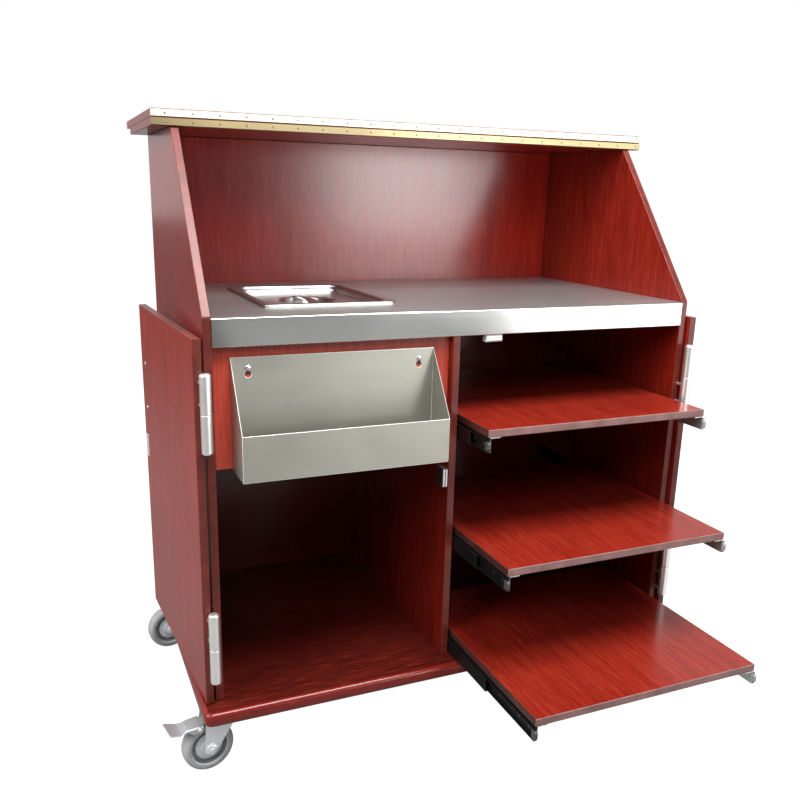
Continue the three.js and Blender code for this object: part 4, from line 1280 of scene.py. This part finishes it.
# the floor glows where it is seen, so that it stays as pale as the backdrop,
# and by its place along X where it is mirrored
def addFloor():
    size, colour = stageSettings["floorHalf"], stageSettings["floorColour"]
    material, tree, shader, coords = startMaterial("paleFloor")
    shade = noiseValue(tree, coords, 1.5, 2)
    dim = tuple(stageSettings["dim"] * channel for channel in colour)
    tree.links.new(mixColour(tree, shade, dim, colour), shader.inputs["Base Color"])
    shader.inputs["Roughness"].default_value = stageSettings["roughness"]
    path = addNode(tree, "ShaderNodeLightPath")
    glow = tonesAlong(tree, coords, stageSettings["sideGlow"])
    inMirrors = mathNode(tree, "MULTIPLY", path.outputs["Is Glossy Ray"], glow)
    seen = mathNode(tree, "MULTIPLY", path.outputs["Is Camera Ray"], stageSettings["glow"])
    shader.inputs["Emission Color"].default_value = (1, 1, 1, 1)
    tree.links.new(mathNode(tree, "ADD", inMirrors, seen), shader.inputs["Emission Strength"])
    corners = [(-size, -size, 0), (size, -size, 0), (size, size, 0), (-size, size, 0)]
    addStaged("studioFloor", corners, [(0, 1, 2, 3)], material)


cardSettings = {"middle": -1.1, "back": -3.4, "width": 3.6, "bottom": 0.55, "top": 2.6, "bow": 0.4,
                "dark": (0.10, 0.10, 0.10), "light": (0.14, 0.14, 0.14), "roughness": 0.9}


# a dull card behind the camera, bowed forward at its ends, keeps the front of the room dim
def addCard():
    settings = cardSettings
    across = np.linspace(-1, 1, 13)
    up = np.linspace(settings["bottom"], settings["top"], 5)
    points = np.empty((len(up), len(across), 3))
    points[..., 0] = settings["middle"] + across * settings["width"] / 2
    points[..., 1] = settings["back"] + settings["bow"] * across ** 2
    points[..., 2] = up[:, None]
    material, tree, shader, coords = startMaterial("dullCard")
    shade = noiseValue(tree, coords, 3.0, 2)
    tree.links.new(mixColour(tree, shade, settings["dark"], settings["light"]), shader.inputs["Base Color"])
    shader.inputs["Roughness"].default_value = settings["roughness"]
    faces = gridFaces(len(up), len(across), False).tolist()
    addStaged("dullCard", points.reshape(-1, 3).tolist(), faces, material).visible_camera = False


def addWorld():
    world = bpy.data.worlds.new("studio")
    world.use_nodes = True
    tree = world.node_tree
    tree.nodes.clear()
    path = addNode(tree, "ShaderNodeLightPath")
    back = addNode(tree, "ShaderNodeBackground", {"Color": (1, 1, 1, 1)})
    output = addNode(tree, "ShaderNodeOutputWorld")
    base = stageSettings["diffuse"]
    glossy = mathNode(tree, "MULTIPLY", path.outputs["Is Glossy Ray"], stageSettings["glossy"] - base)
    seen = mathNode(tree, "MULTIPLY", path.outputs["Is Camera Ray"], stageSettings["seen"] - base)
    strength = mathNode(tree, "ADD", mathNode(tree, "ADD", glossy, seen), base)
    tree.links.new(strength, back.inputs["Strength"])
    tree.links.new(back.outputs[0], output.inputs[0])
    bpy.context.scene.world = world


# sheen boxes are seen in glossy surfaces but throw no light into the bays,
# fill boxes light but aren't mirrored
# each has its place, aim, size, power and kind
softboxes = {
    "topBox": ((0.2, -1.0, 3.0), (0.15, -0.3, 0.5), (1.5, 1.2), 112, "plain"),
    "rightBox": ((3.3, -2.2, 1.4), (0.1, 0, 0.8), (2.2, 2.6), 34, "sheen"),
    "windowBox": ((1.52, -2.9, 1.24), (0.1, 0.4, 1.1), (0.95, 0.95), 48, "sheen"),
    "lowBox": ((2.84, -2.9, 0.45), (0.3, -0.3, 0.85), (1.85, 0.7), 11, "sheen"),
    "frontBox": ((-1.1, -2.5, 2.6), (0.1, 0, 0.9), (1.2, 0.9), 25, "plain"),
    "leftBox": ((-2.5, -0.3, 2.2), (-0.45, 0.1, 0.8), (2.4, 2.2), 98, "plain"),
    "backBox": ((1.3, 3.0, 1.6), (0.1, 0.3, 0.7), (1.6, 1.4), 48, "fill"),
    "sideBox": ((3.2, 0.9, 1.9), (0.5, 0.1, 0.7), (1.4, 1.4), 42, "fill"),
}


def lookRotation(spot, aim):
    back = np.array(spot, float) - np.array(aim, float)
    back /= np.linalg.norm(back)
    right = np.cross((0, 0, 1), back)
    right /= np.linalg.norm(right)
    return np.column_stack((right, np.cross(back, right), back))


def setTransform(thing, spot, rotation):
    matrix = np.eye(4)
    matrix[:3, :3] = rotation
    matrix[:3, 3] = spot
    thing.matrix_world = Matrix(matrix.tolist())


def addLights():
    for name, (spot, aim, size, power, kind) in softboxes.items():
        light = bpy.data.lights.new(name, "AREA")
        light.shape = "RECTANGLE"
        light.size, light.size_y = size
        light.energy = power
        lamp = bpy.data.objects.new(name, light)
        lamp.visible_diffuse = kind != "sheen"
        lamp.visible_glossy = kind != "fill"
        bpy.context.scene.collection.objects.link(lamp)
        setTransform(lamp, spot, lookRotation(spot, aim))


# focal length, centre and frame are in pixels of the picture, the sensor in millimetres
cameraSettings = {"spot": (-251.1, -1410.5, 1082.5), "yaw": 23.472, "pitch": 15.261, "roll": -1.417,
                  "focal": 842.5, "centre": (398.68, 422.82), "frame": 800, "sensor": 36, "nearest": 0.02}


def addCamera():
    yaw, pitch, roll = (math.radians(cameraSettings[name]) for name in ("yaw", "pitch", "roll"))
    ahead = np.array([math.sin(yaw) * math.cos(pitch), math.cos(yaw) * math.cos(pitch), -math.sin(pitch)])
    right = np.array([math.cos(yaw), -math.sin(yaw), 0])
    down = np.cross(ahead, right)
    rolledRight = math.cos(roll) * right + math.sin(roll) * down
    rolledDown = -math.sin(roll) * right + math.cos(roll) * down
    lens = bpy.data.cameras.new("photoCamera")
    size = cameraSettings["frame"]
    lens.sensor_width = cameraSettings["sensor"]
    lens.lens = cameraSettings["focal"] / size * cameraSettings["sensor"]
    lens.shift_x = (size / 2 - cameraSettings["centre"][0]) / size
    lens.shift_y = (cameraSettings["centre"][1] - size / 2) / size
    lens.clip_start = cameraSettings["nearest"]
    camera = bpy.data.objects.new("photoCamera", lens)
    bpy.context.scene.collection.objects.link(camera)
    setTransform(camera, placed(cameraSettings["spot"]), np.column_stack((rolledRight, -rolledDown, -ahead)))
    bpy.context.scene.camera = camera


addFloor()
addCard()
addWorld()
addLights()
addCamera()
bpy.context.scene.view_settings.view_transform = "Standard"
bpy.context.scene.view_settings.look = "None"
print("stage done")

bpy.context.view_layer.update()
